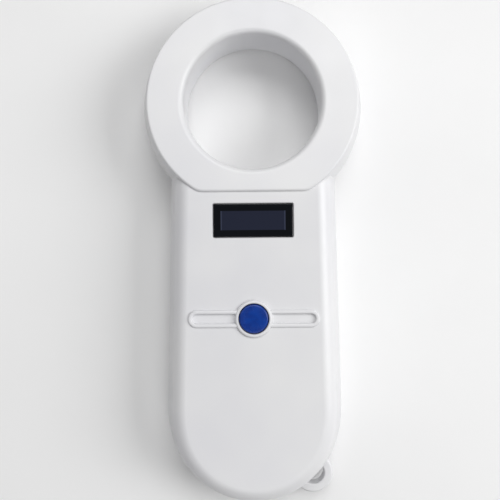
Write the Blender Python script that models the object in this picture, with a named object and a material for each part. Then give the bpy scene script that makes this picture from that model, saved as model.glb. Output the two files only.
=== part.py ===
"""Handheld microchip scanner: a ring antenna head on a flat handle.

The scanner lies on its back. +Z leaves the front face, +Y runs from the
handle to the ring, and the origin is under the middle of the whole length.
All sizes are in metres.
"""
import math

import bmesh
import bpy
from mathutils import Matrix, Vector

# Whole object
OVERALL_LENGTH = 0.1864
THICKNESS = 0.028
PARTING_SHARE = 0.5             # height of the parting line in the thickness
WALL = 0.002
FLOOR = 0.0022                  # back plate under the ring
GAP = 0.0003                    # clearance between pieces that touch

# How far shapes reach when they are joined or cut
BITE = 0.0007                   # a joined solid reaches this far into its neighbour
BEYOND = 0.01                   # a straight tool runs this far past what it cuts
PAST = 0.001                    # a sloped tool runs this far past what it cuts
SLIVER = 0.00005                # keeps two joined walls out of one plane

# Ring head
RING_OUTER_R = 0.0402           # at the parting line
RING_STEP = 0.001               # ring face stands this far above the handle face
RING_FRONT_DRAFT = math.radians(10.5)
RING_FRONT_EDGE_R = 0.0009
RING_BACK_DRAFT = math.radians(4.0)
RING_BACK_EDGE_R = 0.0022
BORE_R = 0.0244                 # narrowest, just behind the front edge
BORE_DRAFT = 0.0012             # how much wider the bore is at the back
BORE_FRONT_EDGE_R = 0.002
BORE_BACK_EDGE_R = 0.001
SLEEVE_WALL = 0.0017
SLEEVE_STEP = 0.0002            # the sleeve is this much thicker above the parting line
CHIN_FROM_RIM = 0.0079          # flat chin, up from the ring's lowest point
RING_LEAN = math.radians(4.7)   # ring face slopes back from the chin to the top

# Handle
HANDLE_TOP_HALF = 0.0299        # half width at the neck
HANDLE_END_HALF = 0.0323        # half width above the round end
END_R = 0.03185
END_PULL = 0.3                  # extra slope of the round end, per unit of inset
SHOULDER_UP = 0.0012            # the sides start this far above the end's centre
SHOULDER_TURN = math.radians(4.0)   # the round end stops this short of the sides
NECK_IN_RIM = 0.00775           # the handle's top runs this far inside the ring's rim
CAVITY_CORNER_R = 0.0008        # smallest radius in the hollow's corners
HANDLE_FRONT_DRAFT = math.radians(15.5)
HANDLE_FRONT_EDGE_R = 0.0058
HANDLE_BACK_DRAFT = math.radians(8.0)
HANDLE_BACK_EDGE_R = 0.003

# Tongue and rebate along the parting line
TONGUE_WALL = 0.0008
TONGUE_DEPTH = 0.0014
REBATE_PLAY = 0.0002            # the rebate is wider than the tongue by this

# Display
WINDOW_BELOW_CHIN = 0.0103
WINDOW_WIDTH = 0.0278
WINDOW_HEIGHT = 0.0115
WINDOW_THICK = 0.001
WINDOW_SUNK = 0.00015
WINDOW_LEDGE = 0.0016           # width of the ledge that carries the window
POCKET_WALL = 0.0015            # wall round the window's pocket
LEDGE_THICK = 0.0012
TAPE_THICK = 0.0003
PANEL_OVER_WINDOW = 0.001       # panel glass past the window, each end
PANEL_HEIGHT = 0.0115
PANEL_THICK = 0.0013
CARRIER_HEIGHT = 0.003
CARRIER_WALL = 0.0012
CARRIER_PAST = 0.001            # carrier past the panel, above and below
CARRIER_RIM = 0.0015            # rim that the panel rests on
FLEX_WIDTH = 0.010
FLEX_THICK = 0.0003

# Button
BUTTON_BELOW_WINDOW = 0.0345
BUTTON_R = 0.0051
BUTTON_PROUD = 0.0012           # top of the button above the handle face
BUTTON_FLANGE = 0.0014          # flange past the button, behind the face
BUTTON_FLANGE_THICK = 0.0008
BUTTON_STEM_R = 0.0016
BUTTON_ROOF = 0.0014            # thickness of the button's top
BUTTON_SIDE = 0.0012            # thickness of its skirt
BUTTON_EDGE_R = 0.0006
BUTTON_TRAVEL = 0.0006
COLLAR_WIDTH = 0.00125
COLLAR_HEIGHT = 0.001
BEAD_LENGTH = 0.0463
BEAD_HALF_HEIGHT = 0.0031
BEAD_WIDTH = 0.0013
BEAD_RISE = 0.0005
GROOVE_DEPTH = 0.0003

# Switch under the button
SWITCH_SIDE = 0.0062
SWITCH_HEIGHT = 0.0035
PLUNGER_R = 0.0017
PLUNGER_PROUD = 0.0011
SWITCH_BASE = 0.0009            # floor of the switch's well

# Circuit board
BOARD_THICK = 0.0016
BOARD_HALF_WIDTH = 0.020
BOARD_NOSE_HALF = 0.0075        # half width of its narrow end at the USB socket
BOARD_NOSE_LENGTH = 0.012
BOARD_IN_RIM = 0.005            # the board's top edge, inside the ring's lowest point
BOARD_FROM_WALL = 0.002         # the board's nose, in from the inside of the end wall
STANDOFF_X = 0.0172
STANDOFF_BELOW_TOP = 0.024
STANDOFF_FROM_END = 0.027
STANDOFF_R = 0.0022
BOARD_SCREW_R = 0.0008
BOARD_SCREW_HEAD_R = 0.0017
BOARD_SCREW_HEAD_THICK = 0.0013
BOARD_SCREW_PLAY = 0.0004       # the board's holes round its screws
BLIND = 0.0012                  # solid left past a board screw's hole

# Parts on the board's back: width, length, height, x, distance below the board's top
BACK_PARTS = {
    "mcu_chip": (0.007, 0.007, 0.0014, 0.0, 0.036),
    "rf_chip": (0.006, 0.010, 0.0017, 0.009, 0.014),
    "tuning_capacitor_1": (0.0032, 0.0025, 0.0016, 0.0, 0.009),
    "tuning_capacitor_2": (0.0032, 0.0025, 0.0016, 0.0, 0.014),
    "crystal_can": (0.005, 0.0032, 0.0012, 0.010, 0.036),
    "coil_header": (0.006, 0.004, 0.0035, -0.010, 0.0035),
    "battery_header": (0.006, 0.0035, 0.0035, -0.011, 0.020),
}
CHARGE_CHIP = (0.005, 0.004, 0.0013, 0.008)     # width, length, height, x
CHARGE_CHIP_FROM_END = 0.017
BUZZER_R = 0.0045
BUZZER_HEIGHT = 0.004
BUZZER_PORT_R = 0.0008
BUZZER_X = -0.009
BUZZER_BELOW_BUTTON = 0.020

# Case screws
SCREW_R = 0.001
SCREW_HEAD_R = 0.0019
SCREW_HEAD_THICK = 0.0014
BOSS_R = 0.0028
SCREW_SUNK = 0.0023             # head's outer face below the back
COUNTERBORE_DEPTH = 0.004
BOSS_SPLIT_Z = 0.010            # where a back boss meets its front boss
SCREW_REACH = 0.003             # the tips' height above the parting line
THREAD_PLAY = 0.0004            # back boss hole round the screw
BOSS_CLEAR = 0.0006             # ring pair's bosses, in from the case wall
RING_SCREW_ANGLE = math.radians(55.0)
NECK_BOSS_CLEAR = 0.0013        # the same at the neck
NECK_SCREW_UP = 0.001           # above the ring's lowest point
END_BOSS_CLEAR = 0.0043         # and near the end
END_SCREW_UP = 0.029            # above the end of the handle

# Antenna
FORMER_WALL = 0.0012
FORMER_CLEAR = 0.0004           # former to the bosses of the ring's screws
FLANGE_THICK = 0.0016
COIL_SUNK = 0.0005              # the winding lies this far inside the flanges
WIRE_R = 0.0004
LEAD_SPACING = 0.003

# Battery
BATTERY_WIDTH = 0.034
BATTERY_LENGTH = 0.052
BATTERY_THICK = 0.0065
PAD_THICK = 0.0007
BATTERY_BELOW_HEADER = 0.006    # the cell's top edge, below the middle of its header
PAD_INSIDE = 0.003              # the pad's edge, inside the cell's side
PLUG_WIDTH = 0.0052
PLUG_LENGTH = 0.003
PLUG_HEIGHT = 0.0026
PLUG_DROP = 0.0004              # plug below the header's upper face
BATTERY_LEAD_SPACING = 0.0028
BATTERY_LEAD_UP = 0.003         # where the leads leave the cell, above its back

# USB socket
USB_WIDTH = 0.009
USB_HEIGHT = 0.0032
USB_LENGTH = 0.0082
USB_IN_WALL = 0.0044            # mouth, in from the end of the handle
USB_METAL = 0.0003              # thickness of the socket's shell
USB_BLADE_THICK = 0.0007
USB_BLADE_LENGTH = 0.0058
USB_PLAY = 0.00035              # case cut-out round the socket
USB_CUT_LENGTH = 0.012

# Lanyard eyelet on the back shell
EYELET_OUT = 0.0008             # hole centre, past the round end
EYELET_ANGLE = math.radians(-47.4)
EYELET_R = 0.0077
EYELET_HOLE_R = 0.0043
EYELET_Z = (0.003, 0.008)

# Label recess in the back
LABEL_WIDTH = 0.036
LABEL_LENGTH = 0.046
LABEL_THICK = 0.00025
LABEL_SUNK = 0.0001
LABEL_RECESS = 0.00065
LABEL_UP = 0.0015               # above the middle of the handle

# Resolution
RING_STEPS = 48
END_STEPS = 24
NECK_STEPS = 10
EDGE_STEPS = 3
ROUND_STEPS = 16

# Heights and places that follow from the sizes above
FACE_Z = THICKNESS - RING_STEP
PARTING_Z = THICKNESS * PARTING_SHARE
INNER_Z = FACE_Z - WALL
RING_INNER_Z = THICKNESS - WALL
LEDGE_Z = INNER_Z - LEDGE_THICK
PANEL_Z = LEDGE_Z - GAP - PANEL_THICK
BOARD_Z = PANEL_Z - GAP - CARRIER_HEIGHT - GAP          # the board's front side
BOARD_BACK_Z = BOARD_Z - BOARD_THICK
PART_Z = BOARD_Z + GAP                                  # parts on its front side
RING_Y = OVERALL_LENGTH / 2 - RING_OUTER_R
END_Y = -OVERALL_LENGTH / 2
END_CENTRE_Y = END_Y + END_R
CHIN_Y = RING_Y - RING_OUTER_R + CHIN_FROM_RIM
WINDOW_Y = CHIN_Y - WINDOW_BELOW_CHIN
BUTTON_Y = WINDOW_Y - BUTTON_BELOW_WINDOW
NECK_R = RING_OUTER_R - NECK_IN_RIM
SLEEVE_R = BORE_R + BORE_DRAFT + SLEEVE_WALL
BOARD_TOP_Y = RING_Y - RING_OUTER_R + BOARD_IN_RIM
BOARD_END_Y = END_Y + BOARD_FROM_WALL + (1 + END_PULL) * (
    WALL + (BOARD_Z - PARTING_Z) * math.tan(HANDLE_FRONT_DRAFT))
STANDOFF_PLACES = [(side * STANDOFF_X, y)
                   for y in (BOARD_TOP_Y - STANDOFF_BELOW_TOP, END_Y + STANDOFF_FROM_END)
                   for side in (-1, 1)]
RING_SCREW_R = RING_OUTER_R - WALL - BOSS_R - BOSS_CLEAR
RING_DROP = (RING_Y + RING_OUTER_R - CHIN_Y) * math.tan(RING_LEAN)


# ---------------------------------------------------------------- mesh helpers

def arc(centre, radius, start, stop, steps):
    """Points on an arc, both ends included; angles in radians."""
    turn = (stop - start) / steps
    return [(centre[0] + radius * math.cos(start + turn * i),
             centre[1] + radius * math.sin(start + turn * i))
            for i in range(steps + 1)]


def rectangle(width, height, x=0.0, y=0.0):
    """Corners of a rectangle about a centre, anticlockwise."""
    w, h = width / 2, height / 2
    return [(x - w, y - h), (x + w, y - h), (x + w, y + h), (x - w, y + h)]


def circle(radius, x=0.0, y=0.0, steps=ROUND_STEPS):
    """Points round a circle, anticlockwise."""
    return [(x + radius * math.cos(math.tau * i / steps),
             y + radius * math.sin(math.tau * i / steps)) for i in range(steps)]


def stadium(length, half_height, x=0.0, y=0.0, steps=6):
    """A slot outline: two half circles joined by straight sides."""
    reach = length / 2 - half_height
    right = arc((x + reach, y), half_height, -math.pi / 2, math.pi / 2, steps)
    left = arc((x - reach, y), half_height, math.pi / 2, 1.5 * math.pi, steps)
    return right + left


def loft(levels):
    """Closed solid through outlines of equal count, given as (points, z)."""
    bm = bmesh.new()
    rows = [[bm.verts.new((x, y, z)) for x, y in points] for points, z in levels]
    bm.faces.new(list(reversed(rows[0])))
    bm.faces.new(rows[-1])
    count = len(rows[0])
    for low, high in zip(rows, rows[1:]):
        for i in range(count):
            j = (i + 1) % count
            bm.faces.new((low[i], low[j], high[j], high[i]))
    bmesh.ops.recalc_face_normals(bm, faces=bm.faces)
    return bm


def prism(points, low, high):
    """Outline extruded from one height to another."""
    return loft([(points, low), (points, high)])


def turned(profile, x=0.0, y=0.0, steps=RING_STEPS):
    """Closed (radius, z) profile spun a full turn about a vertical axis."""
    bm = bmesh.new()
    verts = [bm.verts.new((x + r, y, z)) for r, z in profile]
    edges = [bm.edges.new((a, b)) for a, b in zip(verts, verts[1:] + verts[:1])]
    bmesh.ops.spin(bm, geom=verts + edges, cent=(x, y, 0), axis=(0, 0, 1),
                   angle=math.tau, steps=steps, use_merge=True)
    bmesh.ops.remove_doubles(bm, verts=bm.verts, dist=1e-6)
    bmesh.ops.recalc_face_normals(bm, faces=bm.faces)
    return bm


def post(radius, x, y, low, high, steps=ROUND_STEPS):
    """Upright cylinder."""
    return prism(circle(radius, x, y, steps), low, high)


def box(width, length, low, high, x=0.0, y=0.0):
    """Upright block."""
    return prism(rectangle(width, length, x, y), low, high)


def mesh_of(bm, name):
    """Move a bmesh into a mesh datablock."""
    mesh = bpy.data.meshes.new(name)
    bm.to_mesh(mesh)
    bm.free()
    return mesh


def node(name, bm, material, sharp=math.radians(35)):
    """Named object from a bmesh, with its material and smooth rounds."""
    mesh = mesh_of(bm, name)
    mesh.materials.append(material)
    mesh.shade_smooth()
    mesh.set_sharp_from_angle(angle=sharp)
    made = bpy.data.objects.new(name, mesh)
    bpy.context.collection.objects.link(made)
    made.parent = assembly
    return made


def combine(bm, other, operation):
    """Boolean of two closed bmeshes; both are used up."""
    base = bpy.data.objects.new("base", mesh_of(bm, "base"))
    tool = bpy.data.objects.new("tool", mesh_of(other, "tool"))
    for item in (base, tool):
        bpy.context.collection.objects.link(item)
    step = base.modifiers.new("step", "BOOLEAN")
    step.operation = operation
    step.object = tool
    depsgraph = bpy.context.evaluated_depsgraph_get()
    result = bpy.data.meshes.new_from_object(base.evaluated_get(depsgraph))
    for item in (base, tool):
        mesh = item.data
        bpy.data.objects.remove(item)
        bpy.data.meshes.remove(mesh)
    out = bmesh.new()
    out.from_mesh(result)
    bpy.data.meshes.remove(result)
    bmesh.ops.remove_doubles(out, verts=out.verts, dist=1e-6)

    # The Boolean now and then drops a sliver face; close the gap it leaves
    open_edges = [edge for edge in out.edges if edge.is_boundary]
    if open_edges:
        bmesh.ops.holes_fill(out, edges=open_edges)
    return out


def join(bm, *others):
    """Union of solids that reach into each other."""
    for other in others:
        bm = combine(bm, other, "UNION")
    return bm


def cut(bm, *tools):
    """Take each tool away from a solid."""
    for tool in tools:
        bm = combine(bm, tool, "DIFFERENCE")
    return bm


def plastic(name, colour, roughness=0.45, metallic=0.0):
    """Principled material with one colour."""
    made = bpy.data.materials.new(name)
    made.use_nodes = True
    shader = made.node_tree.nodes["Principled BSDF"]
    shader.inputs["Base Color"].default_value = (*colour, 1.0)
    shader.inputs["Roughness"].default_value = roughness
    shader.inputs["Metallic"].default_value = metallic
    return made


# ---------------------------------------------------------------- case shapes

def edge_profile(parting_z, face_z, draft, radius):
    """(inset, z) from the parting line up a drafted wall and round its edge."""
    way = math.copysign(1.0, face_z - parting_z)
    wall_top = face_z - way * radius * (1 - math.sin(draft))
    wall_inset = abs(wall_top - parting_z) * math.tan(draft)
    centre_inset = wall_inset + radius * math.cos(draft)
    points = [(0.0, parting_z)]
    for i in range(EDGE_STEPS + 1):
        lean = (math.pi / 2 - draft) * (1 - i / EDGE_STEPS)
        points.append((centre_inset - radius * math.sin(lean),
                       face_z - way * radius * (1 - math.cos(lean))))
    return points


def handle_outline(inset):
    """Handle seen from the front: tapered sides, round end, arc inside the ring."""
    centre_y = END_CENTRE_Y + END_PULL * inset
    end = arc((0, centre_y), END_R - inset, math.pi + SHOULDER_TURN,
              math.tau - SHOULDER_TURN, END_STEPS)
    shoulder = (HANDLE_END_HALF - inset, centre_y + SHOULDER_UP)
    top_x = HANDLE_TOP_HALF - inset
    lean = math.acos(top_x / NECK_R)
    neck = arc((0, RING_Y), NECK_R, -lean, -math.pi + lean, NECK_STEPS)
    return end + [shoulder] + neck + [(-shoulder[0], shoulder[1])]


def handle_solid(profile, wall=0.0, low=None, high=None):
    """Handle lofted through an edge profile, thinned by a wall, cut at heights."""
    levels = [(handle_outline(inset + wall), z) for inset, z in profile]
    if levels[0][1] > levels[-1][1]:
        levels.reverse()
    if low is not None:
        levels[0] = (levels[0][0], low)
    if high is not None:
        levels[-1] = (levels[-1][0], high)
    return loft(levels)


def ring_drop(y):
    """How far the leaning ring face has come down at a place beyond the chin."""
    return max(0.0, y - CHIN_Y) * math.tan(RING_LEAN)


def lean_back(bm):
    """Slope what is above the parting line down towards the ring's top."""
    everything = bm.verts[:] + bm.edges[:] + bm.faces[:]
    bmesh.ops.bisect_plane(bm, geom=everything, dist=1e-7, plane_co=(0, CHIN_Y, 0),
                           plane_no=(0, 1, 0))
    for vert in bm.verts:
        share = (vert.co.z - PARTING_Z) / (RING_INNER_Z - PARTING_Z)
        vert.co.z -= ring_drop(vert.co.y) * min(1.0, max(0.0, share))
    return bm


FRONT_HANDLE = edge_profile(PARTING_Z, FACE_Z, HANDLE_FRONT_DRAFT, HANDLE_FRONT_EDGE_R)
BACK_HANDLE = edge_profile(PARTING_Z - GAP, 0.0, HANDLE_BACK_DRAFT, HANDLE_BACK_EDGE_R)
FRONT_RING = edge_profile(PARTING_Z, THICKNESS, RING_FRONT_DRAFT, RING_FRONT_EDGE_R)
BACK_RING = edge_profile(PARTING_Z - GAP, 0.0, RING_BACK_DRAFT, RING_BACK_EDGE_R)


def case_screw_places():
    """Six screw centres: two in the ring, two at the neck, two at the end."""
    ring_x = RING_SCREW_R * math.cos(RING_SCREW_ANGLE)
    ring_y = RING_Y + RING_SCREW_R * math.sin(RING_SCREW_ANGLE)
    neck_x = HANDLE_TOP_HALF - WALL - BOSS_R - NECK_BOSS_CLEAR
    neck_y = RING_Y - RING_OUTER_R + NECK_SCREW_UP
    end_x = HANDLE_END_HALF - WALL - BOSS_R - END_BOSS_CLEAR
    end_y = END_Y + END_SCREW_UP
    pairs = ((ring_x, ring_y), (neck_x, neck_y), (end_x, end_y))
    return [(side * x, y) for x, y in pairs for side in (-1, 1)]


def front_boss_tops():
    """Height of each front boss, inside the wall it grows from."""
    ring_top = RING_INNER_Z - ring_drop(case_screw_places()[0][1] + BOSS_R) + BITE
    neck_top = FACE_Z - 0.75 * HANDLE_FRONT_EDGE_R  # under the round of the face
    tops = (ring_top, neck_top, INNER_Z + BITE)
    return [top for top in tops for _ in range(2)]


def ring_front():
    """Ring half of the front shell with the full-depth bore sleeve."""
    outer = [(RING_OUTER_R - inset, z) for inset, z in FRONT_RING]
    lip = arc((BORE_R + BORE_FRONT_EDGE_R, THICKNESS - BORE_FRONT_EDGE_R),
              BORE_FRONT_EDGE_R, math.pi / 2, math.pi, 4)
    foot_r = BORE_R + BORE_DRAFT + BORE_BACK_EDGE_R
    foot = arc((foot_r, GAP + BORE_BACK_EDGE_R), BORE_BACK_EDGE_R,
               math.pi, 1.5 * math.pi, 2)
    sleeve = [(SLEEVE_R, GAP), (SLEEVE_R, PARTING_Z)]
    return turned(outer + lip + foot + sleeve, y=RING_Y)


def case_block(inset, low, high):
    """Upright block with the outline of the whole case, taken in by an inset."""
    return join(post(RING_OUTER_R - inset, 0, RING_Y, low, high, RING_STEPS),
                handle_solid([(0.0, low), (0.0, high)], inset))


def build_front_shell(material):
    """Front shell: ring, handle face, tongue, bosses and the button's collar."""
    ring = cut(ring_front(), box(3 * RING_OUTER_R, 2 * RING_OUTER_R, FACE_Z - BITE,
                                 THICKNESS + BEYOND, y=CHIN_Y - RING_OUTER_R))
    shell = join(lean_back(ring), lean_back(handle_solid(FRONT_HANDLE)))
    shell = join(shell, prism(stadium(BEAD_LENGTH, BEAD_HALF_HEIGHT, y=BUTTON_Y),
                              INNER_Z + BITE, FACE_Z + BEAD_RISE))
    shell = cut(shell, prism(stadium(BEAD_LENGTH - 2 * BEAD_WIDTH,
                                     BEAD_HALF_HEIGHT - BEAD_WIDTH, y=BUTTON_Y),
                             FACE_Z - GROOVE_DEPTH, THICKNESS + BEYOND))
    shell = join(shell, post(BUTTON_R + GAP + COLLAR_WIDTH, 0, BUTTON_Y, INNER_Z + BITE,
                             FACE_Z + COLLAR_HEIGHT, 32))

    # Hollow, open to the back
    hollow_r = SLEEVE_R + SLEEVE_STEP
    rim_r = RING_OUTER_R - WALL
    slope = (RING_INNER_Z - PARTING_Z) * math.tan(RING_FRONT_DRAFT)
    cavity = [(hollow_r, PARTING_Z - PAST), (rim_r, PARTING_Z - PAST), (rim_r, PARTING_Z),
              (rim_r - slope, RING_INNER_Z), (hollow_r, RING_INNER_Z)]
    shell = cut(shell, lean_back(turned(cavity, y=RING_Y)))
    inside = edge_profile(PARTING_Z, INNER_Z, HANDLE_FRONT_DRAFT,
                          max(HANDLE_FRONT_EDGE_R - WALL, CAVITY_CORNER_R))
    shell = cut(shell, lean_back(handle_solid(inside, WALL, low=PARTING_Z - PAST - GAP)))

    # Tongue that drops into the back shell's rebate
    shell = join(shell, cut(case_block(WALL - SLIVER - TONGUE_WALL,
                                       PARTING_Z - TONGUE_DEPTH, PARTING_Z + BITE),
                            case_block(WALL - SLIVER, PARTING_Z - BEYOND, THICKNESS)))

    # Posts behind the face
    for (x, y), top in zip(case_screw_places(), front_boss_tops()):
        shell = join(shell, post(BOSS_R, x, y, BOSS_SPLIT_Z + GAP, top))
    for x, y in STANDOFF_PLACES:
        shell = join(shell, post(STANDOFF_R, x, y, PART_Z, INNER_Z + BITE))
    for x, y in case_screw_places():
        shell = cut(shell, post(SCREW_R + GAP, x, y, 0.0, screw_tip_z() + PAST))
    for x, y in STANDOFF_PLACES:
        shell = cut(shell, post(BOARD_SCREW_R + GAP, x, y, 0.0, INNER_Z - BLIND))

    # Window pocket, its ledge, the button's hole and the cut-out for the socket
    sight = (WINDOW_WIDTH - 2 * WINDOW_LEDGE, WINDOW_HEIGHT - 2 * WINDOW_LEDGE)
    shell = join(shell, box(WINDOW_WIDTH + 2 * POCKET_WALL, WINDOW_HEIGHT + 2 * POCKET_WALL,
                            LEDGE_Z, INNER_Z + BITE, y=WINDOW_Y))
    shell = cut(shell,
                box(WINDOW_WIDTH + 2 * GAP, WINDOW_HEIGHT + 2 * GAP, pocket_floor_z(),
                    THICKNESS + BEYOND, y=WINDOW_Y),
                box(*sight, LEDGE_Z - BEYOND, THICKNESS + BEYOND, y=WINDOW_Y),
                post(BUTTON_R + GAP, 0, BUTTON_Y, INNER_Z - BEYOND, THICKNESS + BEYOND, 32),
                box(USB_WIDTH + 2 * USB_PLAY, USB_CUT_LENGTH, PART_Z - USB_PLAY,
                    PART_Z + USB_HEIGHT + USB_PLAY, y=END_Y + USB_CUT_LENGTH / 2))
    return node("front_shell", shell, material)


def build_rear_shell(material):
    """Back shell: flat plate, rebate, bosses, label recess and lanyard eyelet."""
    ring_profile = [(RING_OUTER_R - inset, z) for inset, z in BACK_RING]
    hole_r = SLEEVE_R + GAP
    ring = turned(ring_profile + [(hole_r, 0.0), (hole_r, PARTING_Z - GAP)], y=RING_Y)
    shell = join(ring, handle_solid(BACK_HANDLE))

    # Eyelet beside the round end; the shell's wall closes the inner side of its hole
    eyelet = post(EYELET_R, *eyelet_place(), *EYELET_Z, 32)
    hole = post(EYELET_HOLE_R, *eyelet_place(), 0.0, THICKNESS, 24)
    shell = join(shell, cut(eyelet, hole))

    # Hollow, open to the front
    top = PARTING_Z + PAST
    cavity = [(BORE_R, FLOOR), (RING_OUTER_R - BACK_RING[1][0] - WALL, FLOOR),
              (RING_OUTER_R - WALL, top), (BORE_R, top)]
    shell = cut(shell, turned(cavity, y=RING_Y))
    inside = edge_profile(PARTING_Z - GAP, WALL, HANDLE_BACK_DRAFT,
                          max(HANDLE_BACK_EDGE_R - WALL, CAVITY_CORNER_R))
    shell = cut(shell, handle_solid(inside, WALL, high=top + GAP))
    shell = cut(shell, case_block(WALL - TONGUE_WALL - REBATE_PLAY,
                                  PARTING_Z - TONGUE_DEPTH - GAP, top))

    # Screw bosses, their counterbores and the label recess
    for x, y in case_screw_places():
        shell = join(shell, post(BOSS_R, x, y, WALL - BITE, BOSS_SPLIT_Z))
    for x, y in case_screw_places():
        shell = cut(shell, post(SCREW_R + THREAD_PLAY, x, y, -BEYOND, BOSS_SPLIT_Z + BEYOND),
                    post(SCREW_HEAD_R + GAP, x, y, -PAST, COUNTERBORE_DEPTH))
    shell = cut(shell, box(LABEL_WIDTH + 2 * GAP, LABEL_LENGTH + 2 * GAP, -PAST,
                           LABEL_RECESS, y=label_y()))
    return node("rear_shell", shell, material)


def eyelet_place():
    """Centre of the eyelet's hole, just past the round end of the handle."""
    reach = END_R + EYELET_OUT
    return reach * math.cos(EYELET_ANGLE), END_CENTRE_Y + reach * math.sin(EYELET_ANGLE)


def label_y():
    """Middle of the label recess on the back."""
    return (BOARD_TOP_Y + END_Y) / 2 + LABEL_UP


def build_rear_label(material):
    """Thin blank label in its recess."""
    sheet = box(LABEL_WIDTH, LABEL_LENGTH, LABEL_SUNK, LABEL_SUNK + LABEL_THICK,
                y=label_y())
    return node("rear_label", sheet, material)


# ---------------------------------------------------------------- display

def pocket_floor_z():
    """Face of the ledge that the window's tape sits on."""
    return FACE_Z - WINDOW_SUNK - WINDOW_THICK - TAPE_THICK - 2 * GAP


def build_display(clear, tape, glass, frame, film):
    """Window, its tape, the display panel, its carrier and its flex."""
    window_low = FACE_Z - WINDOW_SUNK - WINDOW_THICK
    node("display_window", box(WINDOW_WIDTH, WINDOW_HEIGHT, window_low,
                               window_low + WINDOW_THICK, y=WINDOW_Y), clear)

    tape_low = pocket_floor_z() + GAP
    strip = box(WINDOW_WIDTH, WINDOW_HEIGHT, tape_low, tape_low + TAPE_THICK, y=WINDOW_Y)
    hole = box(WINDOW_WIDTH - 2 * WINDOW_LEDGE, WINDOW_HEIGHT - 2 * WINDOW_LEDGE,
               tape_low - PAST, tape_low + PAST, y=WINDOW_Y)
    node("window_tape", cut(strip, hole), tape)

    panel_width = WINDOW_WIDTH + 2 * PANEL_OVER_WINDOW
    node("oled_panel", box(panel_width, PANEL_HEIGHT, PANEL_Z, PANEL_Z + PANEL_THICK,
                           y=WINDOW_Y), glass)

    carrier_width = panel_width + 2 * (GAP + CARRIER_WALL)
    seat_z = PART_Z + CARRIER_HEIGHT
    carrier = box(carrier_width, PANEL_HEIGHT + 2 * CARRIER_PAST, PART_Z,
                  seat_z + PANEL_THICK, y=WINDOW_Y)
    seat = box(panel_width + 2 * GAP, PANEL_HEIGHT + BEYOND, seat_z, seat_z + BEYOND,
               y=WINDOW_Y)
    hollow = box(panel_width - 2 * CARRIER_RIM, PANEL_HEIGHT - 2 * CARRIER_RIM,
                 PART_Z + CARRIER_WALL, seat_z + BEYOND, y=WINDOW_Y)
    node("oled_carrier", cut(carrier, seat, hollow), frame)

    node("oled_flex", flex_strip(), film)


def flex_strip():
    """Flat ribbon that loops from the panel's lower edge down to the board."""
    start_y = WINDOW_Y - PANEL_HEIGHT / 2 - CARRIER_PAST - 2 * GAP
    high = PANEL_Z + FLEX_THICK
    low = PART_Z + FLEX_THICK
    loop_r = (high - low) / 2
    path = arc((start_y, low + loop_r), loop_r, math.pi / 2, 1.5 * math.pi, 10)
    path = [(start_y + GAP + CARRIER_PAST, high)] + path + [(start_y + GAP / 2, low)]
    half_width = FLEX_WIDTH / 2
    bm = bmesh.new()
    rows = []
    for i, (y, z) in enumerate(path):
        before = Vector(path[max(i - 1, 0)])
        after = Vector(path[min(i + 1, len(path) - 1)])
        along = (after - before).normalized()
        off = Vector((-along.y, along.x)) * FLEX_THICK / 2
        rows.append([bm.verts.new((x, y + s * off.x, z + s * off.y))
                     for x, s in ((-half_width, 1), (half_width, 1),
                                  (half_width, -1), (-half_width, -1))])
    bm.faces.new(rows[0])
    bm.faces.new(list(reversed(rows[-1])))
    for a, b in zip(rows, rows[1:]):
        for i in range(4):
            j = (i + 1) % 4
            bm.faces.new((a[i], b[i], b[j], a[j]))
    bmesh.ops.recalc_face_normals(bm, faces=bm.faces)
    return bm


# ---------------------------------------------------------------- button

def build_button(blue, black, steel):
    """Blue push button, the switch body below it and the switch's plunger."""
    top = FACE_Z + BUTTON_PROUD
    flange_top = INNER_Z - GAP
    flange_low = flange_top - BUTTON_FLANGE_THICK
    switch_top = PART_Z + SWITCH_HEIGHT
    plunger_top = switch_top + PLUNGER_PROUD
    stem_low = plunger_top + GAP
    flange_r = BUTTON_R + BUTTON_FLANGE
    edge = arc((BUTTON_R - BUTTON_EDGE_R, top - BUTTON_EDGE_R), BUTTON_EDGE_R,
               0, math.pi / 2, 3)
    inner_r = BUTTON_R - BUTTON_SIDE
    roof = top - BUTTON_ROOF
    profile = [(0.0, stem_low), (BUTTON_STEM_R, stem_low), (BUTTON_STEM_R, roof),
               (inner_r, roof), (inner_r, flange_low), (flange_r, flange_low),
               (flange_r, flange_top), (BUTTON_R, flange_top)] + edge + [(0.0, top)]
    cap = turned(profile, y=BUTTON_Y, steps=32)
    made = node("scan_button", cap, blue)
    set_origin(made, (0, BUTTON_Y, top))

    body = box(SWITCH_SIDE, SWITCH_SIDE, PART_Z, switch_top, y=BUTTON_Y)
    well = post(PLUNGER_R + GAP, 0, BUTTON_Y, PART_Z + SWITCH_BASE, switch_top + BEYOND)
    node("switch_body", cut(body, well), black)

    plunger_low = PART_Z + SWITCH_BASE + GAP + BUTTON_TRAVEL
    made = node("switch_plunger", post(PLUNGER_R, 0, BUTTON_Y, plunger_low, plunger_top),
                steel)
    set_origin(made, (0, BUTTON_Y, plunger_top))


def set_origin(made, place):
    """Put an object's origin at a place without moving its shape."""
    made.data.transform(Matrix.Translation(-Vector(place)))
    made.location = place


# ---------------------------------------------------------------- board

def board_outline():
    """Board: a rectangle that narrows to a nose at the USB socket."""
    nose_y = BOARD_END_Y + BOARD_NOSE_LENGTH
    right = [(BOARD_NOSE_HALF, BOARD_END_Y), (BOARD_HALF_WIDTH, nose_y),
             (BOARD_HALF_WIDTH, BOARD_TOP_Y)]
    left = [(-x, y) for x, y in reversed(right)]
    return right + left


def back_part_place(name):
    """Centre of a part on the board's back."""
    below_top = BACK_PARTS[name][4]
    return BACK_PARTS[name][3], BOARD_TOP_Y - below_top


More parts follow.
